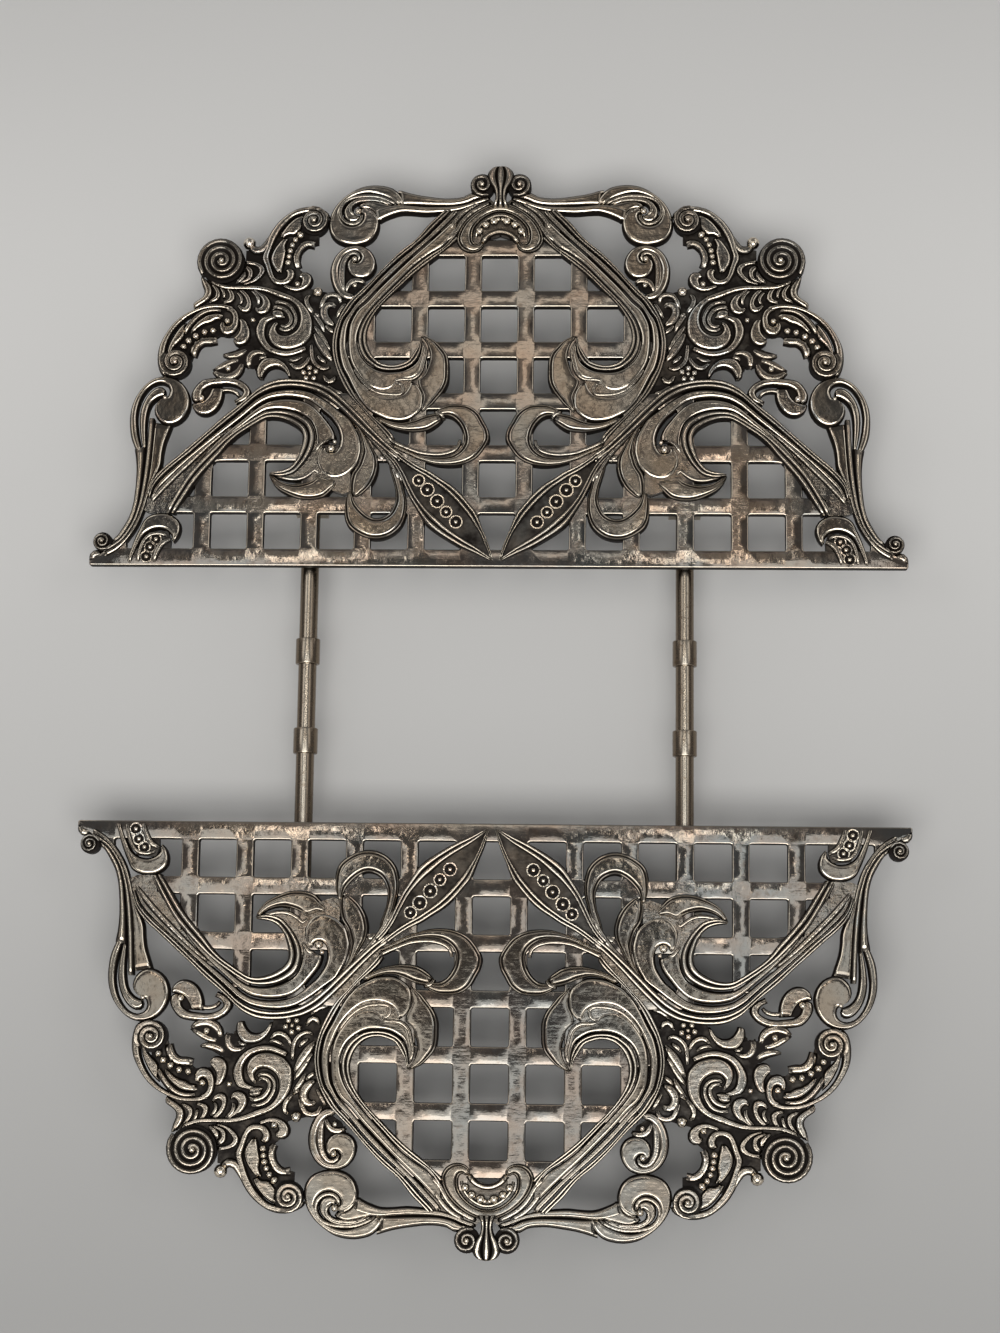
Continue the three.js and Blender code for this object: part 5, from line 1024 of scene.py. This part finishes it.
def lay_lattice(bm):
    """The bars round the square holes and the bar along the straight edge, over the whole half plate."""
    first = -(HOLE_COLUMNS // 2) * LATTICE_PITCH - HOLE_SIDE / 2
    columns = [-BAR_END, -BAR_TAPER] + lattice_lines(HOLE_COLUMNS, first) + [BAR_TAPER, BAR_END]
    rows = [SET_BACK] + lattice_lines(HOLE_ROWS, EDGE_BAR_WIDTH)
    grid = bmesh.ops.create_grid(bm, x_segments=len(columns) - 1, y_segments=len(rows) - 1, size=0.5)
    for vert in grid["verts"]:
        vert.co.x = columns[round((vert.co.x + 0.5) * (len(columns) - 1))]
        vert.co.y = rows[round((vert.co.y + 0.5) * (len(rows) - 1))]
        vert.co.z = BAR_TOP
        if abs(vert.co.x) > BAR_TAPER + 1 and vert.co.y > BAR_END_WIDTH:
            vert.co.y = BAR_END_WIDTH
    gone = []
    for face in {face for vert in grid["verts"] for face in vert.link_faces}:
        x, y = face.calc_center_median().xy
        in_bar = y < EDGE_BAR_WIDTH
        if over_a_hole(x, y) or not (in_bar or inside(LATTICE_EDGE, abs(x), y)):
            gone.append(face)
    bmesh.ops.delete(bm, geom=gone, context="FACES")
    top = list({face for vert in bm.verts for face in vert.link_faces})
    block = bmesh.ops.extrude_face_region(bm, geom=top)["geom"]
    for vert in (item for item in block if isinstance(item, bmesh.types.BMVert)):
        vert.co.z = UNDERSIDE
    rebuild(bm)
    bm.normal_update()
    corners = [edge for edge in bm.edges if len(edge.link_faces) == 2 and edge.calc_face_angle() > 1.0]
    upright = [edge for edge in corners if abs(edge.verts[0].co.z - edge.verts[1].co.z) > 1.0]
    bmesh.ops.bevel(bm, geom=upright, offset=CORNER_ROUND, segments=2, profile=0.5, affect="EDGES", material=-1)
    bm.normal_update()
    upper = [edge for edge in bm.edges if len(edge.link_faces) == 2 and edge.calc_face_angle() > 1.0
             and min(vert.co.z for vert in edge.verts) > 1.0]
    bmesh.ops.bevel(bm, geom=upper, offset=TOP_ROUND, segments=3, profile=0.5, affect="EDGES", material=-1)
    patina_and_painted_light = bm.verts.layers.float.get(PATINA_AND_PAINTED_LIGHT) or bm.verts.layers.float.new(PATINA_AND_PAINTED_LIGHT)
    # A bevel rubbed bright with a painted highlight round each hole and edge, and the walls under it darkened
    # with tarnish and painted shade
    for vert in bm.verts:
        vert[patina_and_painted_light] = next((tone for depth, tone in BAR_TONES if BAR_TOP - vert.co.z < depth), 1.0)


def quarter_to_half(bm):
    """Mirrors the drawn quarter about the middle line."""
    copy = bmesh.ops.duplicate(bm, geom=bm.verts[:] + bm.edges[:] + bm.faces[:])["geom"]
    verts = [item for item in copy if isinstance(item, bmesh.types.BMVert)]
    faces = [item for item in copy if isinstance(item, bmesh.types.BMFace)]
    bmesh.ops.scale(bm, vec=(-1, 1, 1), verts=verts)
    bmesh.ops.reverse_faces(bm, faces=faces)


def half_piece(name, half, lay, mirrored=True):
    """One piece of a half plate: drawn as a quarter, mirrored, and put in the half's place."""
    bm = bmesh.new()
    bm.verts.layers.float.new(PATINA_AND_PAINTED_LIGHT)
    lay(bm)
    if mirrored:
        quarter_to_half(bm)
    low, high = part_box(f"{half}_half_plate")
    across = (high.x - low.x) / 2 / (DRAWN_HALF_WIDTH * MM)
    back = (high.y - low.y) / (DRAWN_DEPTH * MM)
    bmesh.ops.scale(bm, vec=(MM * across, MM * back, MM), verts=bm.verts)
    bmesh.ops.recalc_face_normals(bm, faces=bm.faces)
    if half == "front":
        bmesh.ops.rotate(bm, cent=(0, 0, 0), matrix=Matrix.Rotation(math.pi, 3, "Z"), verts=bm.verts)
    edge = low.y if half == "back" else high.y
    bmesh.ops.translate(bm, vec=(0, edge, low.z), verts=bm.verts)
    return finish_piece(bm, f"{half}_{name}", f"{half}_half")


def finish_piece(bm, name, body):
    """Makes a smooth-shaded piece of a mesh, on its body."""
    mesh = bpy.data.meshes.new(name)
    bm.to_mesh(mesh)
    bm.free()
    piece = bpy.data.objects.new(name, mesh)
    bpy.context.scene.collection.objects.link(piece)
    for polygon in mesh.polygons:
        polygon.use_smooth = True
    mesh.set_sharp_from_angle(angle=SHARP_ANGLE)
    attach(piece, body)
    return piece


# Materials

def new_material(name):
    material = bpy.data.materials.new(name)
    material.use_nodes = True
    tree = material.node_tree
    tree.nodes.clear()
    output = tree.nodes.new("ShaderNodeOutputMaterial")
    shader = tree.nodes.new("ShaderNodeBsdfPrincipled")
    tree.links.new(shader.outputs["BSDF"], output.inputs["Surface"])
    return material, tree, shader


def place_of(tree, stretch=(1, 1, 1)):
    """Object coordinates, stretched for a pattern that runs along one way."""
    coordinates = tree.nodes.new("ShaderNodeTexCoord")
    mapping = tree.nodes.new("ShaderNodeMapping")
    mapping.inputs["Scale"].default_value = stretch
    tree.links.new(coordinates.outputs["Object"], mapping.inputs["Vector"])
    return mapping.outputs["Vector"]


def noise(tree, place, scale, detail=4.0, roughness=0.55):
    texture = tree.nodes.new("ShaderNodeTexNoise")
    texture.inputs["Scale"].default_value = scale
    texture.inputs["Detail"].default_value = detail
    texture.inputs["Roughness"].default_value = roughness
    tree.links.new(place, texture.inputs["Vector"])
    return texture.outputs["Fac"]


def remap(tree, value, low, high, to_low=0.0, to_high=1.0, smooth=False):
    node = tree.nodes.new("ShaderNodeMapRange")
    node.interpolation_type = "SMOOTHSTEP" if smooth else "LINEAR"
    node.inputs["From Min"].default_value = low
    node.inputs["From Max"].default_value = high
    node.inputs["To Min"].default_value = to_low
    node.inputs["To Max"].default_value = to_high
    tree.links.new(value, node.inputs["Value"])
    return node.outputs["Result"]


def feed(tree, socket, value):
    """Sets an input, or links another node's output to it."""
    if isinstance(value, bpy.types.NodeSocket):
        tree.links.new(value, socket)
    else:
        socket.default_value = value


def mix(tree, factor, one, two):
    node = tree.nodes.new("ShaderNodeMix")
    node.data_type = "RGBA"
    tree.links.new(factor, node.inputs[0])
    for socket, value in ((node.inputs[6], one), (node.inputs[7], two)):
        feed(tree, socket, value if isinstance(value, bpy.types.NodeSocket) else (*value, 1))
    return node.outputs[2]


def math_node(tree, operation, one, two):
    node = tree.nodes.new("ShaderNodeMath")
    node.operation = operation
    node.use_clamp = True
    feed(tree, node.inputs[0], one)
    feed(tree, node.inputs[1], two)
    return node.outputs[0]


def bump(tree, height, strength, distance):
    node = tree.nodes.new("ShaderNodeBump")
    node.inputs["Strength"].default_value = strength
    node.inputs["Distance"].default_value = distance
    tree.links.new(height, node.inputs["Height"])
    return node


def attribute(tree, name):
    node = tree.nodes.new("ShaderNodeAttribute")
    node.attribute_type = "GEOMETRY"
    node.attribute_name = name
    return node.outputs["Fac"]


def silver_material(name, bright, patch, cloud, patch_share, waves, grit):
    """Tarnished silver plate: rubbed bright on the raised parts with a painted highlight, brown patches, and
    dark tarnish with painted shade in the lines and hollows.
    """
    settings = bpy.context.scene.trivet_finish
    material, tree, shader = new_material(name)
    place = place_of(tree)
    patches = remap(tree, noise(tree, place, 55, 5, 0.6), 0.42, 0.62)
    clouds = remap(tree, noise(tree, place, 22, 3, 0.5), 0.4, 0.62)
    specks = remap(tree, noise(tree, place, 300, 4, 0.65), 0.54, 0.68, 0, 0.45)
    colour = mix(tree, clouds, bright, cloud)
    warm = math_node(tree, "MULTIPLY", patches, patch_share)
    colour = mix(tree, warm, colour, patch)
    colour = mix(tree, specks, colour, tuple(0.45 * value for value in patch))
    # Below 0 the attribute rubs the silver bright with a painted highlight; high values darken it with tarnish
    # and painted shade
    lines = attribute(tree, PATINA_AND_PAINTED_LIGHT)
    polish_and_highlight = remap(tree, lines, -0.05, -0.4)
    sheen = remap(tree, noise(tree, place, 120, 2, 0.5), 0.4, 0.6)
    plain = remap(tree, noise(tree, place, 75, 3, 0.5), 0.3, 0.5, 0.45, 1.0)
    rubbed = mix(tree, plain, mix(tree, sheen, RUBBED_HIGHLIGHT_WARM, RUBBED_HIGHLIGHT_COOL), settings.rim_highlight_colour)
    colour = mix(tree, polish_and_highlight, colour, rubbed)
    wander = remap(tree, noise(tree, place, 260, 3, 0.6), 0.3, 0.7, -0.12, 0.16)
    oxide_and_shade = math_node(tree, "ADD", lines, wander)
    oxide_and_shade = remap(tree, oxide_and_shade, 0.3, 0.85)
    colour = mix(tree, oxide_and_shade, colour, settings.oxide_and_shade_colour)
    shader.inputs["Specular IOR Level"].default_value = 0.12
    tree.links.new(colour, shader.inputs["Base Color"])
    tree.links.new(remap(tree, oxide_and_shade, 0, 1, 1.0, 0.15), shader.inputs["Metallic"])
    grain = noise(tree, place, 650, 3, 0.6)
    rough = math_node(tree, "ADD", remap(tree, oxide_and_shade, 0, 1, 0.07, 0.5), remap(tree, grain, 0.35, 0.7, 0, 0.07))
    rough = math_node(tree, "SUBTRACT", rough, remap(tree, polish_and_highlight, 0, 1, 0, 0.02))
    tree.links.new(rough, shader.inputs["Roughness"])
    brushed = noise(tree, place_of(tree, (1, 6, 1)), 260, 3, 0.6)
    relief = math_node(tree, "MULTIPLY", grain, 0.6)
    relief = math_node(tree, "ADD", relief, math_node(tree, "MULTIPLY", brushed, 0.4))
    fine = bump(tree, relief, grit, 0.0003)
    coarse = bump(tree, noise(tree, place, 190, 2, 0.5), waves, 0.0005)
    tree.links.new(coarse.outputs["Normal"], fine.inputs["Normal"])
    tree.links.new(fine.outputs["Normal"], shader.inputs["Normal"])
    return material


def rod_material():
    """Worn nickel plate: streaks along the rod, brown specks, a painted highlight along the top and painted
    shade on the sides.
    """
    settings = bpy.context.scene.trivet_finish
    material, tree, shader = new_material("rod_nickel")
    place = place_of(tree)
    streaks = remap(tree, noise(tree, place_of(tree, (1, 0.06, 1)), 900, 3, 0.6), 0.35, 0.65)
    specks = remap(tree, noise(tree, place, 700, 4, 0.7), 0.55, 0.68, 0, 0.75)
    rod = tuple(settings.rod_colour)
    colour = mix(tree, streaks, rod, tuple(0.78 * value for value in rod))
    colour = mix(tree, attribute(tree, PATINA_AND_PAINTED_LIGHT), colour, ROD_SIDE_SHADE)
    colour = mix(tree, specks, colour, ROD_SPECK)
    tree.links.new(colour, shader.inputs["Base Color"])
    shader.inputs["Metallic"].default_value = 1.0
    tree.links.new(remap(tree, specks, 0, 0.75, 0.22, 0.4), shader.inputs["Roughness"])
    tree.links.new(bump(tree, streaks, 0.05, 0.0002).outputs["Normal"], shader.inputs["Normal"])
    return material


def underside_material():
    """Dull plate on the feet and the guides, as cast."""
    material, tree, shader = new_material("underside_plate")
    place = place_of(tree)
    patches = remap(tree, noise(tree, place, 120, 4, 0.6), 0.35, 0.65)
    pits = noise(tree, place, 900, 3, 0.6)
    colour = mix(tree, patches, CAST_LIGHT, CAST_DARK)
    tree.links.new(colour, shader.inputs["Base Color"])
    shader.inputs["Metallic"].default_value = 1.0
    tree.links.new(remap(tree, pits, 0.3, 0.7, 0.35, 0.6), shader.inputs["Roughness"])
    tree.links.new(bump(tree, pits, 0.35, 0.0003).outputs["Normal"], shader.inputs["Normal"])
    return material


def floor_material(colour):
    """A pale floor with painted shade: darker in front and behind."""
    material, tree, shader = new_material("pale_floor")
    place = place_of(tree)
    tone = remap(tree, noise(tree, place, 6, 2, 0.5), 0.3, 0.7, 1.0, 0.985)
    axes = tree.nodes.new("ShaderNodeSeparateXYZ")
    tree.links.new(place, axes.inputs["Vector"])
    # Painted shade that darkens the floor towards the front and the back
    front = remap(tree, axes.outputs["Y"], -0.28, 0.16, 0.45, 1.0, smooth=True)
    back = remap(tree, axes.outputs["Y"], 0.1, 0.26, 1.0, 0.8, smooth=True)
    shade = math_node(tree, "MULTIPLY", math_node(tree, "MULTIPLY", front, back), tone)
    tree.links.new(mix(tree, shade, (0, 0, 0), colour), shader.inputs["Base Color"])
    shader.inputs["Roughness"].default_value = 0.9
    return material


def colour_setting(name, description, default):
    """A colour in the panel."""
    return FloatVectorProperty(name=name, description=description, subtype="COLOR", default=default)


def power_setting(name, description, default):
    """A lamp's power in the panel."""
    return FloatProperty(name=name, description=description, subtype="POWER", default=default, min=0)


class TrivetFinish(PropertyGroup):
    """Colours of the metal."""

    leaf_colour: colour_setting("Leaf", "Tarnished silver on the leaves", (0.185, 0.158, 0.124))
    # Colour of rubbed silver, used also as the painted highlight on rims and edges
    rim_highlight_colour: colour_setting("Rims", "Silver rubbed bright on rims and edges", (0.72, 0.63, 0.5))
    bar_colour: colour_setting("Bars", "Duller silver on the lattice", (0.225, 0.196, 0.162))
    # Colour of tarnish, used also as painted shade on walls and in hollows
    oxide_and_shade_colour: colour_setting("Oxide", "Dark tarnish in the lines", (0.01, 0.007, 0.005))
    rod_colour: colour_setting("Rods", "Nickel plate of the rods", (0.62, 0.545, 0.44))


class TrivetStage(PropertyGroup):
    """Floor, light and camera."""

    floor_colour: colour_setting("Floor", "Colour of the floor", (0.683, 0.671, 0.645))
    key_power: power_setting("Key light", "Power of the small light over the back half", 0.15)
    side_power: power_setting("Side lights", "Power of each large light at the sides", 1.3)
    low_power: power_setting("Low lights", "Power of each low light at a corner", 1.5)
    rod_power: power_setting("Rod lights", "Power of each narrow light above a rod", 0.22)
    front_power: power_setting("Front light", "Power of the wide light above the front", 15.0)
    strip_power: power_setting("Strip lights", "Power of the narrow light over the front half", 0.78)
    lens: FloatProperty(name="Lens", description="Focal length on a 36 mm wide sensor", unit="CAMERA",
                        default=86.0)
    tilt: FloatProperty(name="Tilt", description="Camera tilt from straight down", subtype="ANGLE",
                        default=0.1647)
    lean: FloatProperty(name="Lean", description="Camera turn to the side", subtype="ANGLE", default=0.0385)
    roll: FloatProperty(name="Roll", description="Camera roll", subtype="ANGLE", default=0.0130)
    camera_place: FloatVectorProperty(name="Camera", description="Place of the camera", unit="LENGTH",
                                      subtype="TRANSLATION", default=(0.0264, -0.0945, 0.6314))


class TRIVET_OT_lattice(Operator):
    """Adds the lattice of both half plates, with the bar along the straight edge"""
    bl_idname = "trivet.lattice"
    bl_label = "Lattice"

    def execute(self, context):
        settings = context.scene.trivet_finish
        metal = silver_material("lattice_silver", settings.bar_colour, *LATTICE_FINISH)
        for half in ("front", "back"):
            lattice = half_piece("lattice", half, lay_lattice, mirrored=False)
            lattice.data.materials.append(metal)
            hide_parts(f"{half}_half_plate")
        return {"FINISHED"}


class TRIVET_OT_ornament(Operator):
    """Adds the stems, leaves, shells, reeds, balls, beads and volutes of both half plates"""
    bl_idname = "trivet.ornament"
    bl_label = "Ornament"

    def execute(self, context):
        settings = context.scene.trivet_finish
        metal = silver_material("leaf_silver", settings.leaf_colour, *LEAF_FINISH)
        edge_metal = silver_material("shell_silver", settings.leaf_colour, *SHELL_FINISH)
        for half in ("front", "back"):
            for name, leaves, finish in (("stems", STEM_LEAVES, metal), ("leaves", LEAVES, metal),
                                         ("shells", SHELLS, edge_metal)):
                piece = half_piece(name, half, lambda bm: self.lay_leaves(bm, leaves))
                piece.data.materials.append(finish)
            middle = half_piece("middle", half, self.lay_middle, mirrored=False)
            middle.data.materials.append(metal)
            for name, lay in (("reeds", self.lay_lines), ("bosses", self.lay_bosses),
                              ("grounds", self.lay_grounds)):
                piece = half_piece(name, half, lay)
                piece.data.materials.append(edge_metal)
        return {"FINISHED"}

    def lay_leaves(self, bm, leaves):
        for index, (section, top, edge_a, edge_b) in enumerate(leaves):
            lay_leaf(bm, Outline(edge_a), Outline(edge_b), section, top, base=0.2 + 0.01 * index)

    def lay_middle(self, bm):
        for index, (section, top, edge_a, edge_b) in enumerate(MIDDLE_LEAVES):
            left_to_right = [Outline(across_middle(edge)) for edge in (edge_a, edge_b)]
            lay_leaf(bm, *left_to_right, section, top, base=0.7 + 0.01 * index)
        lay_knob(bm)

    def lay_lines(self, bm):
        for index, (top, line) in enumerate(LINES):
            line = [(x, y, LINE_SPREAD * half) for x, y, half in line]
            lay_leaf(bm, Offset(line, 1), Offset(line, -1), SMALL_LEAF, top - LINE_SINK,
                     base=0.5 + 0.01 * index)

    def lay_bosses(self, bm):
        for ball in BALLS:
            lay_ball(bm, *ball)
        for bead in RINGED_BEADS:
            lay_bead_ring(bm, *bead)
        for volute in VOLUTES:
            lay_volute(bm, *volute)

    def lay_grounds(self, bm):
        for ground in GROUNDS:
            lay_ground(bm, *ground)


class TRIVET_OT_rods(Operator):
    """Adds the two rods with their collars and end stops"""
    bl_idname = "trivet.rods"
    bl_label = "Rods"

    def execute(self, context):
        metal = rod_material()
        for hand in ("left", "right"):
            names = [f"{hand}_slide_rod"]
            names += [f"{hand}_{end}_{ring}" for end in ("front", "back") for ring in ("collar", "end_stop")]
            for name in names:
                piece = self.ring(name, f"{hand}_rod")
                piece.data.materials.append(metal)
                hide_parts(name)
        return {"FINISHED"}

    def ring(self, name, body):
        """A rod, or a ring round it, turned to the size of its solid."""
        low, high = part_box(name)
        centre = (low + high) / 2
        radius = (high.z - low.z) / 2
        half = (high.y - low.y) / 2
        is_rod = name.endswith("rod")
        soft = radius * (0.14 if is_rod else 0.1)
        inner = 0 if is_rod else RING_BORE
        end = [(inner, -half), (radius - soft, -half)]
        for bend in END_BEND:
            end.append((radius - soft + soft * math.sin(bend), -half + soft - soft * math.cos(bend)))
        profile = end + [(reach, -along) for reach, along in reversed(end)]
        bm = bmesh.new()
        verts = [bm.verts.new((reach, along, 0)) for reach, along in profile]
        spin_round(bm, verts, (0, 1, 0), 60, closed=not is_rod)
        bmesh.ops.remove_doubles(bm, verts=bm.verts, dist=1e-6)
        bmesh.ops.recalc_face_normals(bm, faces=bm.faces)
        patina_and_painted_light = bm.verts.layers.float.new(PATINA_AND_PAINTED_LIGHT)
        # A painted highlight along the top and painted shade down the sides
        for vert in bm.verts:
            turn = abs(math.atan2(vert.co.x, vert.co.z))
            vert[patina_and_painted_light] = min(1.0, max(0.0, (turn - CROWN_HIGHLIGHT_ANGLE) / SIDE_SHADE_ANGLE))
        bmesh.ops.translate(bm, vec=centre, verts=bm.verts)
        return finish_piece(bm, f"{name}_turned", body)


class TRIVET_OT_feet(Operator):
    """Adds the turned feet and gives the guides their finish"""
    bl_idname = "trivet.feet"
    bl_label = "Feet and guides"

    def execute(self, context):
        metal = underside_material()
        for half in ("front", "back"):
            for hand in ("left", "right"):
                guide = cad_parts[f"{half}_{hand}_guide"]
                guide.data.materials.clear()
                guide.data.materials.append(metal)
                foot = self.foot(f"{half}_{hand}_foot", f"{half}_half")
                foot.data.materials.append(metal)
                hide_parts(f"{half}_{hand}_foot")
        return {"FINISHED"}

    def foot(self, name, body):
        """A foot with a flat pad, a waist and a wide top."""
        low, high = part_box(name)
        centre = (low + high) / 2
        top = (high.x - low.x) / 2
        height = high.z - low.z
        pad = top * 0.82
        waist = top * 0.6
        profile = [
            (0, 0), (pad * 0.86, 0), (pad * 0.96, height * 0.02), (pad, height * 0.06),
            (pad * 0.98, height * 0.12), (pad * 0.86, height * 0.16), (waist * 1.06, height * 0.22),
            (waist, height * 0.32), (waist * 1.02, height * 0.45), (waist * 1.12, height * 0.6),
            (waist * 1.28, height * 0.76), (top * 0.9, height * 0.9), (top, height), (0, height),
        ]
        bm = bmesh.new()
        verts = [bm.verts.new((radius, 0, z)) for radius, z in profile]
        spin_round(bm, verts, (0, 0, 1), 40)
        bmesh.ops.remove_doubles(bm, verts=bm.verts, dist=1e-6)
        bmesh.ops.recalc_face_normals(bm, faces=bm.faces)
        bmesh.ops.translate(bm, vec=(centre.x, centre.y, low.z), verts=bm.verts)
        return finish_piece(bm, f"{name}_turned", body)


class TRIVET_OT_stage(Operator):
    """Adds the floor, the lights and the camera"""
    bl_idname = "trivet.stage"
    bl_label = "Stage"

    def execute(self, context):
        settings = context.scene.trivet_stage
        self.floor(settings)
        self.world(settings)
        key_wide = KEY_WIDE_SHARE * settings.key_power
        strip_end = STRIP_END_SHARE * settings.strip_power
        down, aimed = True, False
        lamps = [
            ("key", settings.key_power, (0.2, 0.17), (-0.05, 0.465, 1.3), WARM, down),
            ("key_wide", key_wide, (0.52, 0.4), (-0.06, 0.46, 1.32), WARM, down),
            ("side_left", settings.side_power, (0.7, 0.5), (-0.95, 0.35, 1.15), WHITE, aimed),
            ("side_right", settings.side_power, (0.7, 0.5), (0.95, 0.3, 1.15), WHITE, aimed),
        ]
        low = settings.low_power
        for hand, rod_x, low_x in (("left", -0.21, -0.95), ("right", 0.1, 0.95)):
            lamps += [
                (f"rod_{hand}", settings.rod_power, (0.04, 0.22), (rod_x, 0.2, 1.3), WARM, down),
                (f"low_front_{hand}", low, (1.1, 0.6), (low_x, -0.95, 0.42), WHITE, aimed),
                (f"low_back_{hand}", low, (1.1, 0.6), (low_x, 0.95, 0.42), WHITE, aimed),
            ]
        lamps += [
            ("front", settings.front_power, (1.4, 0.75), (0.0, -0.675, 1.35), WHITE, down),
            ("strip_front", settings.strip_power, (0.73, 0.195), (-0.055, -0.2025, 1.3), COOL, down),
            ("strip_left", strip_end, (0.185, 0.215), (-0.3075, 0.0025, 1.3), COOL, down),
            ("strip_right", strip_end, (0.185, 0.215), (0.1975, 0.0025, 1.3), COOL, down),
        ]
        for lamp in lamps:
            self.light(*lamp)
        camera = bpy.data.objects.new("camera", bpy.data.cameras.new("camera"))
        context.scene.collection.objects.link(camera)
        camera.data.sensor_fit = "HORIZONTAL"
        camera.data.sensor_width = 36
        camera.data.lens = settings.lens
        camera.location = settings.camera_place
        camera.rotation_euler = (settings.tilt, settings.lean, settings.roll)
        context.scene.camera = camera
        context.scene.view_settings.view_transform = "Standard"
        return {"FINISHED"}

    def floor(self, settings):
        bm = bmesh.new()
        bmesh.ops.create_grid(bm, x_segments=1, y_segments=1, size=FLOOR_REACH)
        mesh = bpy.data.meshes.new("floor")
        bm.to_mesh(mesh)
        bm.free()
        floor = bpy.data.objects.new("floor", mesh)
        bpy.context.scene.collection.objects.link(floor)
        mesh.materials.append(floor_material(settings.floor_colour))

    def world(self, settings):
        world = bpy.data.worlds.new("studio")
        bpy.context.scene.world = world
        world.use_nodes = True
        background = world.node_tree.nodes["Background"]
        background.inputs["Color"].default_value = (*SKY, 1)
        background.inputs["Strength"].default_value = SKY_STRENGTH

    def light(self, name, power, size, place, colour, straight_down):
        """An area light that faces straight down, or else the middle of the trivet."""
        lamp = bpy.data.lights.new(name, "AREA")
        lamp.shape = "RECTANGLE"
        lamp.size, lamp.size_y = size
        lamp.energy = power
        lamp.color = colour
        light = bpy.data.objects.new(name, lamp)
        light.location = place
        if not straight_down:
            light.rotation_euler = (-Vector(place)).to_track_quat("-Z", "Y").to_euler()
        bpy.context.scene.collection.objects.link(light)


class TRIVET_PT_panel(Panel):
    """Lists the steps that make the trivet"""
    bl_label = "Expandable Trivet"
    bl_idname = "TRIVET_PT_panel"
    bl_space_type = "VIEW_3D"
    bl_region_type = "UI"
    bl_category = "Trivet"

    def draw(self, context):
        layout = self.layout
        for settings in (context.scene.trivet_finish, context.scene.trivet_stage):
            for name in settings.__annotations__:
                layout.prop(settings, name)
        for step in STEPS:
            layout.operator(step.bl_idname)


STEPS = (TRIVET_OT_lattice, TRIVET_OT_ornament, TRIVET_OT_rods, TRIVET_OT_feet, TRIVET_OT_stage)
CLASSES = (TrivetFinish, TrivetStage) + STEPS + (TRIVET_PT_panel,)


def register():
    for item in CLASSES:
        bpy.utils.register_class(item)
    bpy.types.Scene.trivet_finish = bpy.props.PointerProperty(type=TrivetFinish)
    bpy.types.Scene.trivet_stage = bpy.props.PointerProperty(type=TrivetStage)


def unregister():
    del bpy.types.Scene.trivet_stage
    del bpy.types.Scene.trivet_finish
    for item in reversed(CLASSES):
        bpy.utils.unregister_class(item)


def main():
    register()
    bpy.ops.trivet.lattice()
    bpy.ops.trivet.ornament()
    bpy.ops.trivet.rods()
    bpy.ops.trivet.feet()
    bpy.ops.trivet.stage()


if __name__ == "__main__":
    main()
